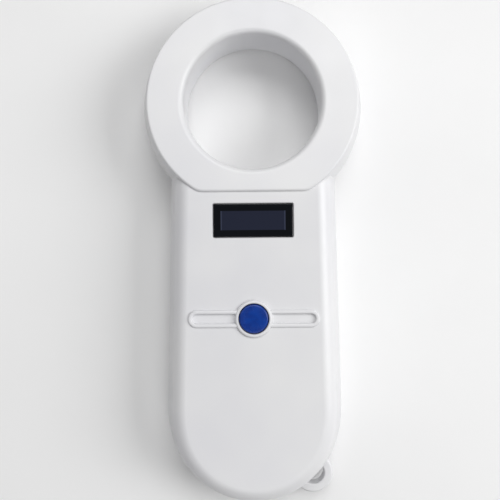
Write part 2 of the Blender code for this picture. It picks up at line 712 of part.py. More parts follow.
def build_board(green, black, ceramic, steel):
    """Circuit board with the larger parts that sit on it."""
    board = prism(board_outline(), BOARD_BACK_Z, BOARD_Z)
    for x, y in STANDOFF_PLACES:
        board = cut(board, post(BOARD_SCREW_R + BOARD_SCREW_PLAY, x, y, 0.0, FACE_Z))
    node("main_board", board, green)

    back_z = BOARD_BACK_Z - GAP
    finishes = {"tuning_capacitor_1": ceramic, "tuning_capacitor_2": ceramic,
                "crystal_can": steel}
    for name, (width, length, height, _, _) in BACK_PARTS.items():
        block = box(width, length, back_z - height, back_z, *back_part_place(name))
        node(name, block, finishes.get(name, black))
    width, length, height, x = CHARGE_CHIP
    node("charge_chip", box(width, length, back_z - height, back_z, x,
                            END_Y + CHARGE_CHIP_FROM_END), black)

    buzzer_y = BUTTON_Y - BUZZER_BELOW_BUTTON
    sounder = post(BUZZER_R, BUZZER_X, buzzer_y, PART_Z, PART_Z + BUZZER_HEIGHT, 24)
    port = post(BUZZER_PORT_R, BUZZER_X, buzzer_y, PART_Z + BUZZER_HEIGHT - PAST,
                PART_Z + BEYOND, 12)
    node("buzzer", cut(sounder, port), black)

    mouth_y = END_Y + USB_IN_WALL
    low, high = PART_Z, PART_Z + USB_HEIGHT
    socket = box(USB_WIDTH, USB_LENGTH, low, high, 0, mouth_y + USB_LENGTH / 2)
    depth = USB_LENGTH - 2 * PAST
    inside = box(USB_WIDTH - 2 * USB_METAL, 2 * depth, low + USB_METAL, high - USB_METAL,
                 y=mouth_y)
    middle, half = (low + high) / 2, USB_BLADE_THICK / 2
    blade = box(USB_WIDTH - 8 * USB_METAL, USB_BLADE_LENGTH, middle - half, middle + half,
                y=mouth_y + depth + BITE - USB_BLADE_LENGTH / 2)
    node("usb_socket", join(cut(socket, inside), blade), steel)


# ---------------------------------------------------------------- antenna, battery

def tube(name, points, radius, material):
    """Round wire along a smooth curve through hand-picked points."""
    curve = bpy.data.curves.new(name, "CURVE")
    curve.dimensions = "3D"
    curve.bevel_depth = radius
    curve.bevel_resolution = 1
    curve.use_fill_caps = True
    smooth = smooth_path([Vector(p) for p in points], 3)
    spline = curve.splines.new("POLY")
    spline.points.add(len(smooth) - 1)
    for point, place in zip(spline.points, smooth):
        point.co = (*place, 1.0)
    curve.materials.append(material)
    made = bpy.data.objects.new(name, curve)
    bpy.context.collection.objects.link(made)
    made.parent = assembly
    return made


def smooth_path(points, steps):
    """Catmull-Rom curve through the points."""
    padded = [2 * points[0] - points[1]] + points + [2 * points[-1] - points[-2]]
    path = []
    for a, b, c, d in zip(padded, padded[1:], padded[2:], padded[3:]):
        for i in range(steps):
            t = i / steps
            path.append(0.5 * (2 * b + (c - a) * t + (2 * a - 5 * b + 4 * c - d) * t ** 2
                               + (3 * b - a - 3 * c + d) * t ** 3))
    return path + [points[-1]]


def build_antenna(former_plastic, copper):
    """Winding former round the bore sleeve, its coil and the coil's two leads."""
    low = FLOOR + GAP
    high = RING_INNER_Z - RING_DROP - GAP
    inner = SLEEVE_R + SLEEVE_STEP + GAP
    outer = RING_SCREW_R - BOSS_R - FORMER_CLEAR
    hub = inner + FORMER_WALL
    profile = [(inner, low), (outer, low), (outer, low + FLANGE_THICK),
               (hub, low + FLANGE_THICK), (hub, high - FLANGE_THICK),
               (outer, high - FLANGE_THICK), (outer, high), (inner, high)]
    node("coil_former", turned(profile, y=RING_Y), former_plastic)

    coil_low, coil_high = low + FLANGE_THICK + GAP, high - FLANGE_THICK - GAP
    coil_out = outer - COIL_SUNK
    section = [(hub + GAP, coil_low), (coil_out, coil_low),
               (coil_out, coil_high), (hub + GAP, coil_high)]
    node("antenna_coil", turned(section, y=RING_Y), copper)

    _, length, height, header_x, _ = BACK_PARTS["coil_header"]
    header_z = BOARD_BACK_Z - GAP - height / 2
    header_y = back_part_place("coil_header")[1] + length / 2 + GAP
    for number, side in ((1, -1), (2, 1)):
        x = header_x + side * LEAD_SPACING / 2
        leave_y = RING_Y - math.sqrt(coil_out ** 2 - x ** 2) - GAP - WIRE_R
        tube(f"coil_lead_{number}",
             [(x, leave_y, coil_low + 0.004), (x, leave_y - 0.0012, coil_low + 0.0055),
              (x, header_y + 0.0016, header_z), (x, header_y, header_z)], WIRE_R, copper)


def build_battery(foil, foam, black, red):
    """Flat cell on its foam pad, with its plug and two leads."""
    x, header_y = back_part_place("battery_header")
    edge_y = header_y - BATTERY_BELOW_HEADER
    middle_y = edge_y - BATTERY_LENGTH / 2
    pad_low = WALL + GAP
    node("battery_pad", box(BATTERY_WIDTH - 2 * PAD_INSIDE, BATTERY_LENGTH - 2 * PAD_INSIDE,
                            pad_low, pad_low + PAD_THICK, y=middle_y), foam)
    low = pad_low + PAD_THICK + GAP
    node("battery_cell", box(BATTERY_WIDTH, BATTERY_LENGTH, low, low + BATTERY_THICK,
                             y=middle_y), foil)

    plug_high = BOARD_BACK_Z - GAP - PLUG_DROP
    plug_low_y = header_y + BACK_PARTS["battery_header"][1] / 2 + GAP
    plug = box(PLUG_WIDTH, PLUG_LENGTH, plug_high - PLUG_HEIGHT, plug_high, x,
               plug_low_y + PLUG_LENGTH / 2)
    node("battery_plug", plug, black)

    leave_y = edge_y + GAP
    leave_z = low + BATTERY_LEAD_UP
    plug_z = plug_high - PLUG_HEIGHT / 2
    plug_edge = plug_low_y + PLUG_LENGTH + GAP
    for name, side, material in (("battery_lead_red", -1, red),
                                 ("battery_lead_black", 1, black)):
        lead_x = x + side * BATTERY_LEAD_SPACING / 2
        tube(name, [(lead_x, leave_y, leave_z), (lead_x, leave_y + 0.004, leave_z),
                    (lead_x, plug_edge + 0.0055, (leave_z + plug_z) / 2),
                    (lead_x, plug_edge + 0.003, plug_z), (lead_x, plug_edge, plug_z)],
             WIRE_R, material)


# ---------------------------------------------------------------- screws

def screw_tip_z():
    """Height of the case screws' tips inside the front bosses."""
    return PARTING_Z + SCREW_REACH


def turned_screw(x, y, head_low, head_r, head_thick, shank_r, tip):
    """Pan-head screw, head down, with a cross recess in its head."""
    head_top = head_low + head_thick
    chamfer = head_thick / 4
    profile = [(0.0, head_low), (head_r - chamfer, head_low), (head_r, head_low + chamfer),
               (head_r, head_top), (shank_r, head_top), (shank_r, tip - shank_r / 2),
               (shank_r / 2, tip), (0.0, tip)]
    screw = turned(profile, x, y, 12)
    arm, width = head_r * 1.2, head_r * 0.28
    deep = head_low + head_thick / 2
    cross = join(box(arm, width, head_low - PAST, deep, x, y),
                 box(width, arm, head_low - PAST - GAP, deep - SLIVER, x, y))
    return cut(screw, cross)


def build_screws(steel):
    """Six case screws from the back, four board screws from behind the board."""
    for number, (x, y) in enumerate(case_screw_places(), 1):
        node(f"case_screw_{number}",
             turned_screw(x, y, SCREW_SUNK, SCREW_HEAD_R, SCREW_HEAD_THICK, SCREW_R,
                          screw_tip_z()), steel)
    head_low = BOARD_BACK_Z - GAP - BOARD_SCREW_HEAD_THICK
    for number, (x, y) in enumerate(STANDOFF_PLACES, 1):
        node(f"board_screw_{number}",
             turned_screw(x, y, head_low, BOARD_SCREW_HEAD_R, BOARD_SCREW_HEAD_THICK,
                          BOARD_SCREW_R, INNER_Z - BLIND - PAST), steel)


# ---------------------------------------------------------------- assembly

for leftover in list(bpy.data.objects):
    bpy.data.objects.remove(leftover)
assembly = bpy.data.objects.new("scanner", None)
bpy.context.collection.objects.link(assembly)

white_abs = plastic("white_abs", (0.83, 0.83, 0.84), 0.38)
blue_abs = plastic("blue_abs", (0.0, 0.04, 0.30), 0.35)
black_plastic = plastic("black_plastic", (0.02, 0.02, 0.02), 0.5)
smoked_acrylic = plastic("smoked_acrylic", (0.004, 0.006, 0.012), 0.12)
panel_glass = plastic("panel_glass", (0.02, 0.025, 0.04), 0.1)
grey_plastic = plastic("grey_plastic", (0.35, 0.35, 0.36), 0.5)
polyimide = plastic("polyimide", (0.42, 0.20, 0.04), 0.35)
acrylic_tape = plastic("acrylic_tape", (0.05, 0.05, 0.05), 0.7)
solder_mask = plastic("solder_mask", (0.01, 0.13, 0.05), 0.35)
ceramic_tan = plastic("ceramic_tan", (0.38, 0.27, 0.17), 0.5)
plated_steel = plastic("plated_steel", (0.55, 0.56, 0.58), 0.3, 1.0)
enamelled_copper = plastic("enamelled_copper", (0.55, 0.20, 0.08), 0.3, 1.0)
silver_foil = plastic("silver_foil", (0.55, 0.56, 0.58), 0.35, 0.8)
grey_foam = plastic("grey_foam", (0.12, 0.12, 0.13), 0.9)
red_insulation = plastic("red_insulation", (0.5, 0.02, 0.02), 0.45)
white_film = plastic("white_film", (0.75, 0.76, 0.77), 0.5)

build_front_shell(white_abs)
build_rear_shell(white_abs)
build_rear_label(white_film)
build_display(smoked_acrylic, acrylic_tape, panel_glass, grey_plastic, polyimide)
build_button(blue_abs, black_plastic, plated_steel)
build_board(solder_mask, black_plastic, ceramic_tan, plated_steel)
build_antenna(grey_plastic, enamelled_copper)
build_battery(silver_foil, grey_foam, black_plastic, red_insulation)
build_screws(plated_steel)
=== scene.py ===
import math

import bmesh
import bpy
from mathutils import Matrix, Vector
from mathutils.geometry import intersect_line_line_2d


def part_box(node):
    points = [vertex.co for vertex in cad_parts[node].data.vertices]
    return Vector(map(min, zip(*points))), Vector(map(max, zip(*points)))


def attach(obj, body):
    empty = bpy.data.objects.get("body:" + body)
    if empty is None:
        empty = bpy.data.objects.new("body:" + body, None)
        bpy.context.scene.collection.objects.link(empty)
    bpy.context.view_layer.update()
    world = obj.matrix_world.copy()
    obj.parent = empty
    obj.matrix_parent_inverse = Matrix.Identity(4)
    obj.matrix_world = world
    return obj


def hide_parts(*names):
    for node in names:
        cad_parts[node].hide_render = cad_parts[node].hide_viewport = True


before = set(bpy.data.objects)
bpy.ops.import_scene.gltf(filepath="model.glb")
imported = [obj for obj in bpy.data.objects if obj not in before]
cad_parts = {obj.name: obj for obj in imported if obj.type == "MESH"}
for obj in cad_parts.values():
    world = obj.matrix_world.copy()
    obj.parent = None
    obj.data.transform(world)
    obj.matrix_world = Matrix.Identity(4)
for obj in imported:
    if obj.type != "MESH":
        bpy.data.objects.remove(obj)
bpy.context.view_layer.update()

# The scanner lies on its back: ring towards +Y, front face up.
# Shapes are worked out in millimetres and put into metres when a piece is finished.
mm = 0.001
print("frame loaded:", len(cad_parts), "nodes")


def boxOf(node):
    low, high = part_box(node)
    return low / mm, high / mm


def middleOf(node):
    low, high = boxOf(node)
    return (low + high) / 2


def sizeOf(node):
    low, high = boxOf(node)
    return high - low


def numbered(name, count):
    return [f"{name}_{number}" for number in range(1, count + 1)]


caseScrews, boardScrews = numbered("case_screw", 6), numbered("board_screw", 4)

# sizes of the case in millimetres; places come from the frame
case = dict(
    thickness=28.0, face=27.0, parting=14.0, gap=0.3, wall=2.0, backFloor=2.2,
    # the ring, its lean from the chin to the top, and its bore
    ringRadius=40.2, ringDraft=math.radians(10.5), ringEdge=0.9, ringLean=math.radians(4.7),
    ringBackDraft=math.radians(4.0), ringBackEdge=2.2,
    bore=24.4, boreWidening=1.2, boreEdge=2.0, boreBackEdge=1.0, sleeveWall=1.7,
    # the straight chin: how far in from the rim, how sharp its corners, how deep it shows
    chinFromRim=7.9, chinSharpness=120.0, chinBand=1.2, chinDepth=0.8, chinStep=0.2,
    # the handle's outline: half widths at the neck and at the shoulder above the round end
    topHalf=29.9, endHalf=32.3, shoulderUp=1.2, endRadius=31.85, endPull=0.3,
    endTurn=math.radians(12.0), sideReach=30, shoulderShare=0.92, neckTop=40.4,
    neckInside=3.2,
    frontDraft=math.radians(15.5), frontEdge=5.8, backDraft=math.radians(8.0), backEdge=3.0,
    # cutters start this far outside what they cut
    past=1.0,
)
case["end"] = boxOf("front_shell")[0].y
case["ringY"] = boxOf("front_shell")[1].y - case["ringRadius"]
case["chin"] = case["ringY"] - case["ringRadius"] + case["chinFromRim"]
case["endCentre"] = case["end"] + case["endRadius"]
case["sleeve"] = case["bore"] + case["boreWidening"] + case["sleeveWall"]
case["inner"] = case["face"] - case["wall"]
case["ringInner"] = case["thickness"] - case["wall"]

# how finely shapes are drawn, and the distances and angles that count as nothing
drawing = dict(ringSteps=192, bendSteps=8, mergeTurned=1e-4, mergeCut=1e-3, sameHeight=1e-3,
               sameLine=1e-5, flatAngle=0.3, sharpAngle=math.radians(32.0), flatWeight=90,
               fullRound=0.9995)


def finishBmesh(bm, name):
    mesh = bpy.data.meshes.new(name)
    bm.to_mesh(mesh)
    bm.free()
    return mesh


def addPiece(bm, name, material, body, replaced):
    # millimetres to metres, smooth rounds, then the piece rides on its body
    bmesh.ops.scale(bm, vec=(mm, mm, mm), verts=bm.verts)
    mesh = finishBmesh(bm, name)
    mesh.materials.append(material)
    mesh.shade_smooth()
    mesh.set_sharp_from_angle(angle=drawing["sharpAngle"])
    piece = bpy.data.objects.new(name, mesh)
    bpy.context.scene.collection.objects.link(piece)
    normals = piece.modifiers.new("normals", "WEIGHTED_NORMAL")
    normals.keep_sharp = True
    normals.weight = drawing["flatWeight"]  # flat faces stay flat right up to their rounds
    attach(piece, body)
    if replaced:
        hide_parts(*replaced)
    print("made", name, len(mesh.polygons), "faces")
    return piece


def combine(bm, other, operation):
    base = bpy.data.objects.new("base", finishBmesh(bm, "base"))
    tool = bpy.data.objects.new("tool", finishBmesh(other, "tool"))
    for item in (base, tool):
        bpy.context.scene.collection.objects.link(item)
    step = base.modifiers.new("step", "BOOLEAN")
    step.operation = operation
    step.object = tool
    depsgraph = bpy.context.evaluated_depsgraph_get()
    result = bpy.data.meshes.new_from_object(base.evaluated_get(depsgraph))
    for item in (base, tool):
        mesh = item.data
        bpy.data.objects.remove(item)
        bpy.data.meshes.remove(mesh)
    joined = bmesh.new()
    joined.from_mesh(result)
    bpy.data.meshes.remove(result)
    # near doubles go, and a sliver that the step dropped is closed again
    bmesh.ops.remove_doubles(joined, verts=joined.verts, dist=drawing["mergeCut"])
    gaps = [edge for edge in joined.edges if edge.is_boundary]
    if gaps:
        bmesh.ops.holes_fill(joined, edges=gaps, sides=0)
    return joined


def join(bm, *others):
    for other in others:
        bm = combine(bm, other, "UNION")
    return bm


def cut(bm, *tools):
    for tool in tools:
        bm = combine(bm, tool, "DIFFERENCE")
    return bm


def together(*solids):
    # solids that don't touch, in one bmesh
    bm = solids[0]
    for other in solids[1:]:
        mesh = finishBmesh(other, "part")
        bm.from_mesh(mesh)
        bpy.data.meshes.remove(mesh)
    return bm


def roundOff(bm, geom, affect, radius, segments):
    bmesh.ops.bevel(bm, geom=geom, affect=affect, offset=radius, segments=segments, profile=0.5,
                    material=-1, offset_type="OFFSET", clamp_overlap=False)


def tangentLength(radius, corner):
    # how far a round of that radius reaches along each side of a corner
    return radius / math.tan(corner / 2)


def connectedEdges(vert):
    found, waiting = set(), [vert]
    while waiting:
        for edge in waiting.pop().link_edges:
            if edge not in found:
                found.add(edge)
                waiting.extend(edge.verts)
    return list(found)


def dropFaces(bm, edges):
    bmesh.ops.delete(bm, geom=list({face for edge in edges for face in edge.link_faces}),
                     context="FACES_ONLY")
    return edges


def roundedLoop(bm, width, length, radius, z, x, y, steps):
    # edges round a rectangle with rounded corners
    w, h = width / 2, length / 2
    corners = [bm.verts.new(place) for place in
               ((x - w, y - h, z), (x + w, y - h, z), (x + w, y + h, z), (x - w, y + h, z))]
    bm.faces.new(corners)
    before = set(bm.edges) - {edge for vert in corners for edge in vert.link_edges}
    roundOff(bm, corners, "VERTICES", min(radius, min(w, h) * drawing["fullRound"]), steps)
    return dropFaces(bm, [edge for edge in bm.edges if edge not in before])


def loftLoops(bm, loops):
    for low, high in zip(loops, loops[1:]):
        bmesh.ops.bridge_loops(bm, edges=low + high)
    for end in (loops[0], loops[-1]):
        bmesh.ops.contextual_create(bm, geom=end)
    bmesh.ops.recalc_face_normals(bm, faces=bm.faces)
    return bm


def plate(levels, x=0.0, y=0.0, steps=8):
    # solid through rounded rectangles given as (width, length, corner radius, height)
    bm = bmesh.new()
    return loftLoops(bm, [roundedLoop(bm, width, length, radius, z, x, y, steps)
                          for width, length, radius, z in levels])


def post(radius, low, high, x, y, steps=48):
    bm = bmesh.new()
    bmesh.ops.create_cone(bm, cap_ends=True, segments=steps, radius1=radius, radius2=radius,
                          depth=high - low,
                          matrix=Matrix.Translation((x, y, (low + high) / 2)))
    return bm


def turned(profile, x=0.0, y=0.0, steps=96, rounds=(), segments=6):
    # closed (radius, height) profile, its corners rounded, spun a full turn
    bm = bmesh.new()
    corners = [bm.verts.new((x + radius, y, z)) for radius, z in profile]
    bm.faces.new(corners)
    for index, radius in rounds:
        roundOff(bm, [corners[index]], "VERTICES", radius, segments)
    bmesh.ops.delete(bm, geom=bm.faces[:], context="FACES_ONLY")
    bmesh.ops.spin(bm, geom=bm.verts[:] + bm.edges[:], cent=(x, y, 0), axis=(0, 0, 1),
                   angle=math.tau, steps=steps, use_merge=True)
    bmesh.ops.remove_doubles(bm, verts=bm.verts, dist=drawing["mergeTurned"])
    loose = [edge for edge in bm.edges if not edge.link_faces]  # what is left on the axis
    bmesh.ops.delete(bm, geom=loose, context="EDGES")
    bmesh.ops.recalc_face_normals(bm, faces=bm.faces)
    return bm


def handleLoop(bm, inset, z, neckY, steps=40):
    # edges round the handle: straight neck, two slanting sides, round end, soft shoulders
    centre = Vector((0.0, case["endCentre"] + case["endPull"] * inset))
    radius = case["endRadius"] - inset
    shoulderY = case["endCentre"] + case["shoulderUp"]
    low = Vector((case["endHalf"] - inset, shoulderY))
    top = low + (Vector((case["topHalf"] - inset, case["neckTop"])) - low) * (
        (neckY - shoulderY) / (case["neckTop"] - shoulderY))
    turn = case["endTurn"]
    start = centre + radius * Vector((math.cos(turn), -math.sin(turn)))
    tangent = case["sideReach"] * Vector((math.sin(turn), math.cos(turn)))
    corner = intersect_line_line_2d(top, low + (low - top), start, start + tangent)
    right = [bm.verts.new((*place, z)) for place in (top, corner, start)]
    arc = bmesh.ops.spin(bm, geom=[right[2]], cent=(*centre, z), axis=(0, 0, 1),
                         angle=-(math.pi - 2 * turn), steps=steps, use_merge=False)
    last = [item for item in arc["geom_last"] if isinstance(item, bmesh.types.BMVert)][0]
    left = [bm.verts.new((-place.x, place.y, z)) for place in (corner, top)]
    for a, b in ((right[0], right[1]), (right[1], right[2]), (last, left[0]),
                 (left[0], left[1]), (left[1], right[0])):
        bm.edges.new((a, b))
    bmesh.ops.contextual_create(bm, geom=connectedEdges(right[0]))
    # the soft shoulder stops short, so that the rim's round has room at the arc's end
    reach = (Vector(corner) - start).length * case["shoulderShare"]
    roundOff(bm, [right[1], left[0]], "VERTICES", reach, drawing["bendSteps"])
    return dropFaces(bm, connectedEdges(right[0]))


def handleSolid(low, high, draft, edge=0.0, wall=0.0, neckIn=0.0, segments=10):
    # drafted block with its far rim rounded; high is the face away from the parting line
    bm = bmesh.new()
    inset = abs(high - low) * math.tan(draft)
    neckY = case["ringY"] - case["sleeve"] + case["sleeveWall"] - neckIn
    loops = [handleLoop(bm, wall, low, neckY), handleLoop(bm, wall + inset, high, neckY)]
    loftLoops(bm, loops)
    if edge:
        reach = tangentLength(edge, math.pi / 2 + draft)
        roundOff(bm, loops[1], "EDGES", reach, segments)
    bmesh.ops.recalc_face_normals(bm, faces=bm.faces)
    return bm


def leanBack(bm):
    # the ring's face slopes down from the chin to the top of the ring
    bmesh.ops.bisect_plane(bm, geom=bm.verts[:] + bm.edges[:] + bm.faces[:],
                           dist=drawing["sameLine"], plane_co=(0, case["chin"], 0),
                           plane_no=(0, 1, 0))
    span = case["ringInner"] - case["parting"]
    for vert in bm.verts:
        share = min(1.0, max(0.0, (vert.co.z - case["parting"]) / span))
        vert.co.z -= max(0.0, vert.co.y - case["chin"]) * math.tan(case["ringLean"]) * share
    return bm


def flattenChin(bm, rimRadius, above):
    # above the handle, the round rim runs into a straight chin through soft corners
    chord = case["ringY"] - case["chin"]
    power = case["chinSharpness"]
    for vert in bm.verts:
        x, y = vert.co.x, vert.co.y - case["ringY"]
        radius = math.hypot(x, y)
        if vert.co.z < above or y >= 0 or radius < rimRadius - case["chinBand"]:
            continue
        straight = (chord + radius - rimRadius) * radius / -y
        shorter = (radius ** -power + straight ** -power) ** (-1 / power)
        vert.co.x *= shorter / radius
        vert.co.y = case["ringY"] + y * shorter / radius
    return bm


def roundRim(bm, height, radius, segments=5):
    # rounds the sharp edges that lie at one height
    rim = [edge for edge in bm.edges
           if all(abs(vert.co.z - height) < drawing["sameHeight"] for vert in edge.verts)
           and len(edge.link_faces) == 2 and edge.calc_face_angle() > drawing["flatAngle"]]
    roundOff(bm, rim, "EDGES", radius, segments)
    return bm


def outline(inset, low, high):
    return join(post(case["ringRadius"] - inset, low, high, 0, case["ringY"],
                     drawing["ringSteps"]),
                handleSolid(low, high, 0.0, wall=inset))


def ringFront():
    c = case
    top, hidden = c["thickness"], c["face"] - c["chinDepth"]
    below, foot = hidden - c["chinStep"], c["bore"] + c["boreWidening"]

    def radiusAt(z):
        return c["ringRadius"] - (z - c["parting"]) * math.tan(c["ringDraft"])

    profile = [(c["ringRadius"], c["parting"]), (radiusAt(below), below),
               (radiusAt(hidden), hidden), (radiusAt(top), top), (c["bore"], top),
               (foot, c["gap"]), (c["sleeve"], c["gap"]), (c["sleeve"], c["parting"])]
    rounds = [(3, tangentLength(c["ringEdge"], math.pi / 2 + c["ringDraft"])),
              (4, c["boreEdge"]), (5, c["boreBackEdge"])]
    bm = turned(profile, y=c["ringY"], steps=drawing["ringSteps"], rounds=rounds, segments=7)
    return leanBack(flattenChin(bm, radiusAt(top), hidden - c["chinStep"] / 2))


def ringFrontCavity(bite):
    c = case
    rim = c["ringRadius"] - c["wall"]
    slope = (c["ringInner"] - c["parting"]) * math.tan(c["ringDraft"])
    inside, start = c["sleeve"] + bite, c["parting"] - c["past"]
    return leanBack(turned([(inside, start), (rim, start), (rim, c["parting"]),
                            (rim - slope, c["ringInner"]), (inside, c["ringInner"])],
                           y=c["ringY"], steps=drawing["ringSteps"]))


frontShell = dict(
    # rounded bead with its lower field, and the collar round the button
    beadLength=46.3, beadWidth=6.2, beadLine=1.45, beadRise=0.7, beadRound=0.6, fieldUnder=0.4,
    groove=0.45, buttonRadius=5.1, collarLine=1.25, collarRise=1.0, collarRound=0.8, bite=0.8,
    curveSteps=12,
    # posts for the screws, and their holes
    bossRadius=2.8, bossLow=10.3, neckBossDrop=2.9, bossHole=1.3,
    standoffRadius=2.2, standoffHole=1.1,
    # window pocket and its ledge
    windowCorner=0.6, pocketChamfer=0.25, pocketWall=1.5, ledge=1.6, ledgeThick=1.2,
    ledgeCorner=1.0, sightCorner=0.5, holeChamfer=0.25, holeRound=0.15, lift=0.01,
    # tongue that stands in the rear shell's rebate, and the cavity round the sleeve
    tongueOut=1.15, tongueIn=1.95, tongueDepth=1.4, sleeveBite=0.2,
    # clearance of the charging socket and how far in its hole runs
    socketPlay=0.35, socketDepth=12,
    # where cutters start below the face and end above it
    cutLow=20, cutHigh=30, cutAbove=3,
)


def makeBead(f, y):
    # the bead, and the cutter of the field inside it, which runs a little under the bead
    low, high = case["face"] - f["bite"], case["face"] + f["beadRise"]
    length, width = f["beadLength"] - 2 * f["beadLine"], f["beadWidth"] - 2 * f["beadLine"]
    outside = [(f["beadLength"], f["beadWidth"], f["beadWidth"] / 2, z) for z in (low, high)]
    inside = [(length, width, width / 2, z) for z in (low - case["past"], high + case["past"])]
    bead = cut(plate(outside, y=y, steps=f["curveSteps"]),
               plate(inside, y=y, steps=f["curveSteps"]))
    fieldLength, fieldWidth = length + f["fieldUnder"], width + f["fieldUnder"]
    field = [(fieldLength, fieldWidth, fieldWidth / 2, z)
             for z in (case["face"] - f["groove"], case["face"] + f["cutAbove"])]
    return roundRim(bead, high, f["beadRound"]), plate(field, y=y, steps=f["curveSteps"])


def makeFrontPosts(f):
    # posts that take the case screws, and posts that the board is screwed against
    bosses, standoffs = [], []
    for name in caseScrews:
        place = middleOf(name)
        drop = max(0.0, place.y + f["bossRadius"] - case["chin"]) * math.tan(case["ringLean"])
        top = case["ringInner"] - drop if drop else case["inner"] - f["neckBossDrop"]
        bosses.append(post(f["bossRadius"], f["bossLow"], top + f["bite"], *place.xy))
    for name in boardScrews:
        standoffs.append(post(f["standoffRadius"], boxOf("main_board")[1].z + case["gap"],
                              case["inner"] + f["bite"], *middleOf(name).xy))
    return bosses + standoffs


def makeFrontHoles(f, window, button, collarTop):
    # cutters in three goes: screw holes, window pocket, then sight, button and socket
    c, size = case, sizeOf("display_window")
    screws = [post(f["bossHole"], 0, boxOf("case_screw_1")[1].z + c["past"], *middleOf(name).xy)
              for name in caseScrews]
    screws += [post(f["standoffHole"], 0, boxOf("board_screw_1")[1].z + c["past"],
                    *middleOf(name).xy) for name in boardScrews]
    width, length = size.x + 2 * c["gap"], size.y + 2 * c["gap"]
    chamfer, corner = f["pocketChamfer"], f["windowCorner"]
    wide = (width + 2 * chamfer, length + 2 * chamfer, corner + chamfer)
    pocket = [(width, length, corner, boxOf("window_tape")[0].z - c["gap"]),
              (width, length, corner, c["face"] - chamfer),
              (*wide, c["face"] + f["lift"]), (*wide, c["face"] + f["cutAbove"])]
    sight = [(size.x - 2 * f["ledge"], size.y - 2 * f["ledge"], f["sightCorner"], z)
             for z in (f["cutLow"], f["cutHigh"])]
    radius, lip = f["buttonRadius"] + c["gap"], f["holeChamfer"]
    buttonHole = turned([(0, f["cutLow"]), (radius, f["cutLow"]), (radius, collarTop - lip),
                         (radius + lip, collarTop + f["lift"]), (radius + lip, f["cutHigh"]),
                         (0, f["cutHigh"])], y=button.y, rounds=[(2, f["holeRound"])])
    socket = socketCutter(f["socketPlay"], f["socketDepth"])
    return (together(*screws), plate(pocket, y=window.y),
            together(plate(sight, y=window.y), buttonHole, socket))


def socketCutter(play, length):
    size, middle = sizeOf("usb_socket"), middleOf("usb_socket")
    width, height = size.x + 2 * play, size.z + 2 * play
    bm = plate([(width, height, height / 2, z) for z in (0, length)], steps=10)
    bmesh.ops.rotate(bm, verts=bm.verts, cent=(0, 0, 0),
                     matrix=Matrix.Rotation(-math.pi / 2, 3, "X"))
    bmesh.ops.translate(bm, verts=bm.verts, vec=(0, case["end"], middle.z))
    return bm


def makeFrontShell(material):
    c, f = case, frontShell
    face, inner = c["face"], c["inner"]
    button, window = middleOf("scan_button"), middleOf("display_window")
    shell = join(ringFront(), leanBack(handleSolid(c["parting"], face, c["frontDraft"],
                                                   c["frontEdge"])))
    bead, field = makeBead(f, button.y)
    collarLow, collarTop = face - f["bite"], face + f["collarRise"]
    radius = f["buttonRadius"] + c["gap"] + f["collarLine"]
    collar = turned([(0, collarLow), (radius, collarLow), (radius, collarTop), (0, collarTop)],
                    y=button.y, rounds=[(2, f["collarRound"])])
    shell = join(cut(shell, field), bead, collar)

    # hollow, then the tongue, the posts and the window's ledge
    handleCavity = handleSolid(c["parting"] - c["past"], inner, c["frontDraft"],
                               c["frontEdge"] - c["wall"],
                               c["wall"] - c["past"] * math.tan(c["frontDraft"]),
                               neckIn=c["neckInside"])
    shell = cut(shell, ringFrontCavity(f["sleeveBite"]), leanBack(handleCavity))
    tongue = cut(outline(f["tongueOut"], c["parting"] - f["tongueDepth"],
                         c["parting"] + f["bite"]),
                 outline(f["tongueIn"], c["parting"] - f["cutAbove"],
                         c["parting"] + f["cutAbove"]))
    size = sizeOf("display_window")
    ledge = [(size.x + 2 * f["pocketWall"], size.y + 2 * f["pocketWall"], f["ledgeCorner"], z)
             for z in (inner - f["ledgeThick"], inner + f["bite"])]
    shell = join(shell, tongue, together(*makeFrontPosts(f), plate(ledge, y=window.y)))
    shell = cut(shell, *makeFrontHoles(f, window, button, collarTop))
    return addPiece(shell, "frontShell", material, "housing", ["front_shell"])


rearShell = dict(
    top=13.7, holeEdge=0.4, rebateIn=1.0, rebateDepth=1.7, rebateOver=0.5, handleSteps=8,
    cavitySteps=4,
    # screw posts, with a stepped bore from the back
    bossRadius=2.8, bossTop=10.0, bossBite=0.7, screwHole=1.4, headHole=2.2, headDepth=4.0,
    headChamfer=0.3, lift=0.01, cutLow=-2, cutHigh=15,
    # eyelet: its place is an angle round the handle's end, its rounds go inside to outside
    eyeletRadius=7.7, eyeletHole=4.3, eyeletLow=3.0, eyeletHigh=8.0, eyeletOut=0.8,
    eyeletAngle=math.radians(-47.4), eyeletRounds=[(0, 0.5), (1, 0.8), (2, 1.1), (3, 0.5)],
    eyeletSteps=80,
    labelCorner=1.6, labelRecess=0.65,
)


def eyeletPlace():
    reach = case["endRadius"] + rearShell["eyeletOut"]
    angle = rearShell["eyeletAngle"]
    return reach * math.cos(angle), case["endCentre"] + reach * math.sin(angle)


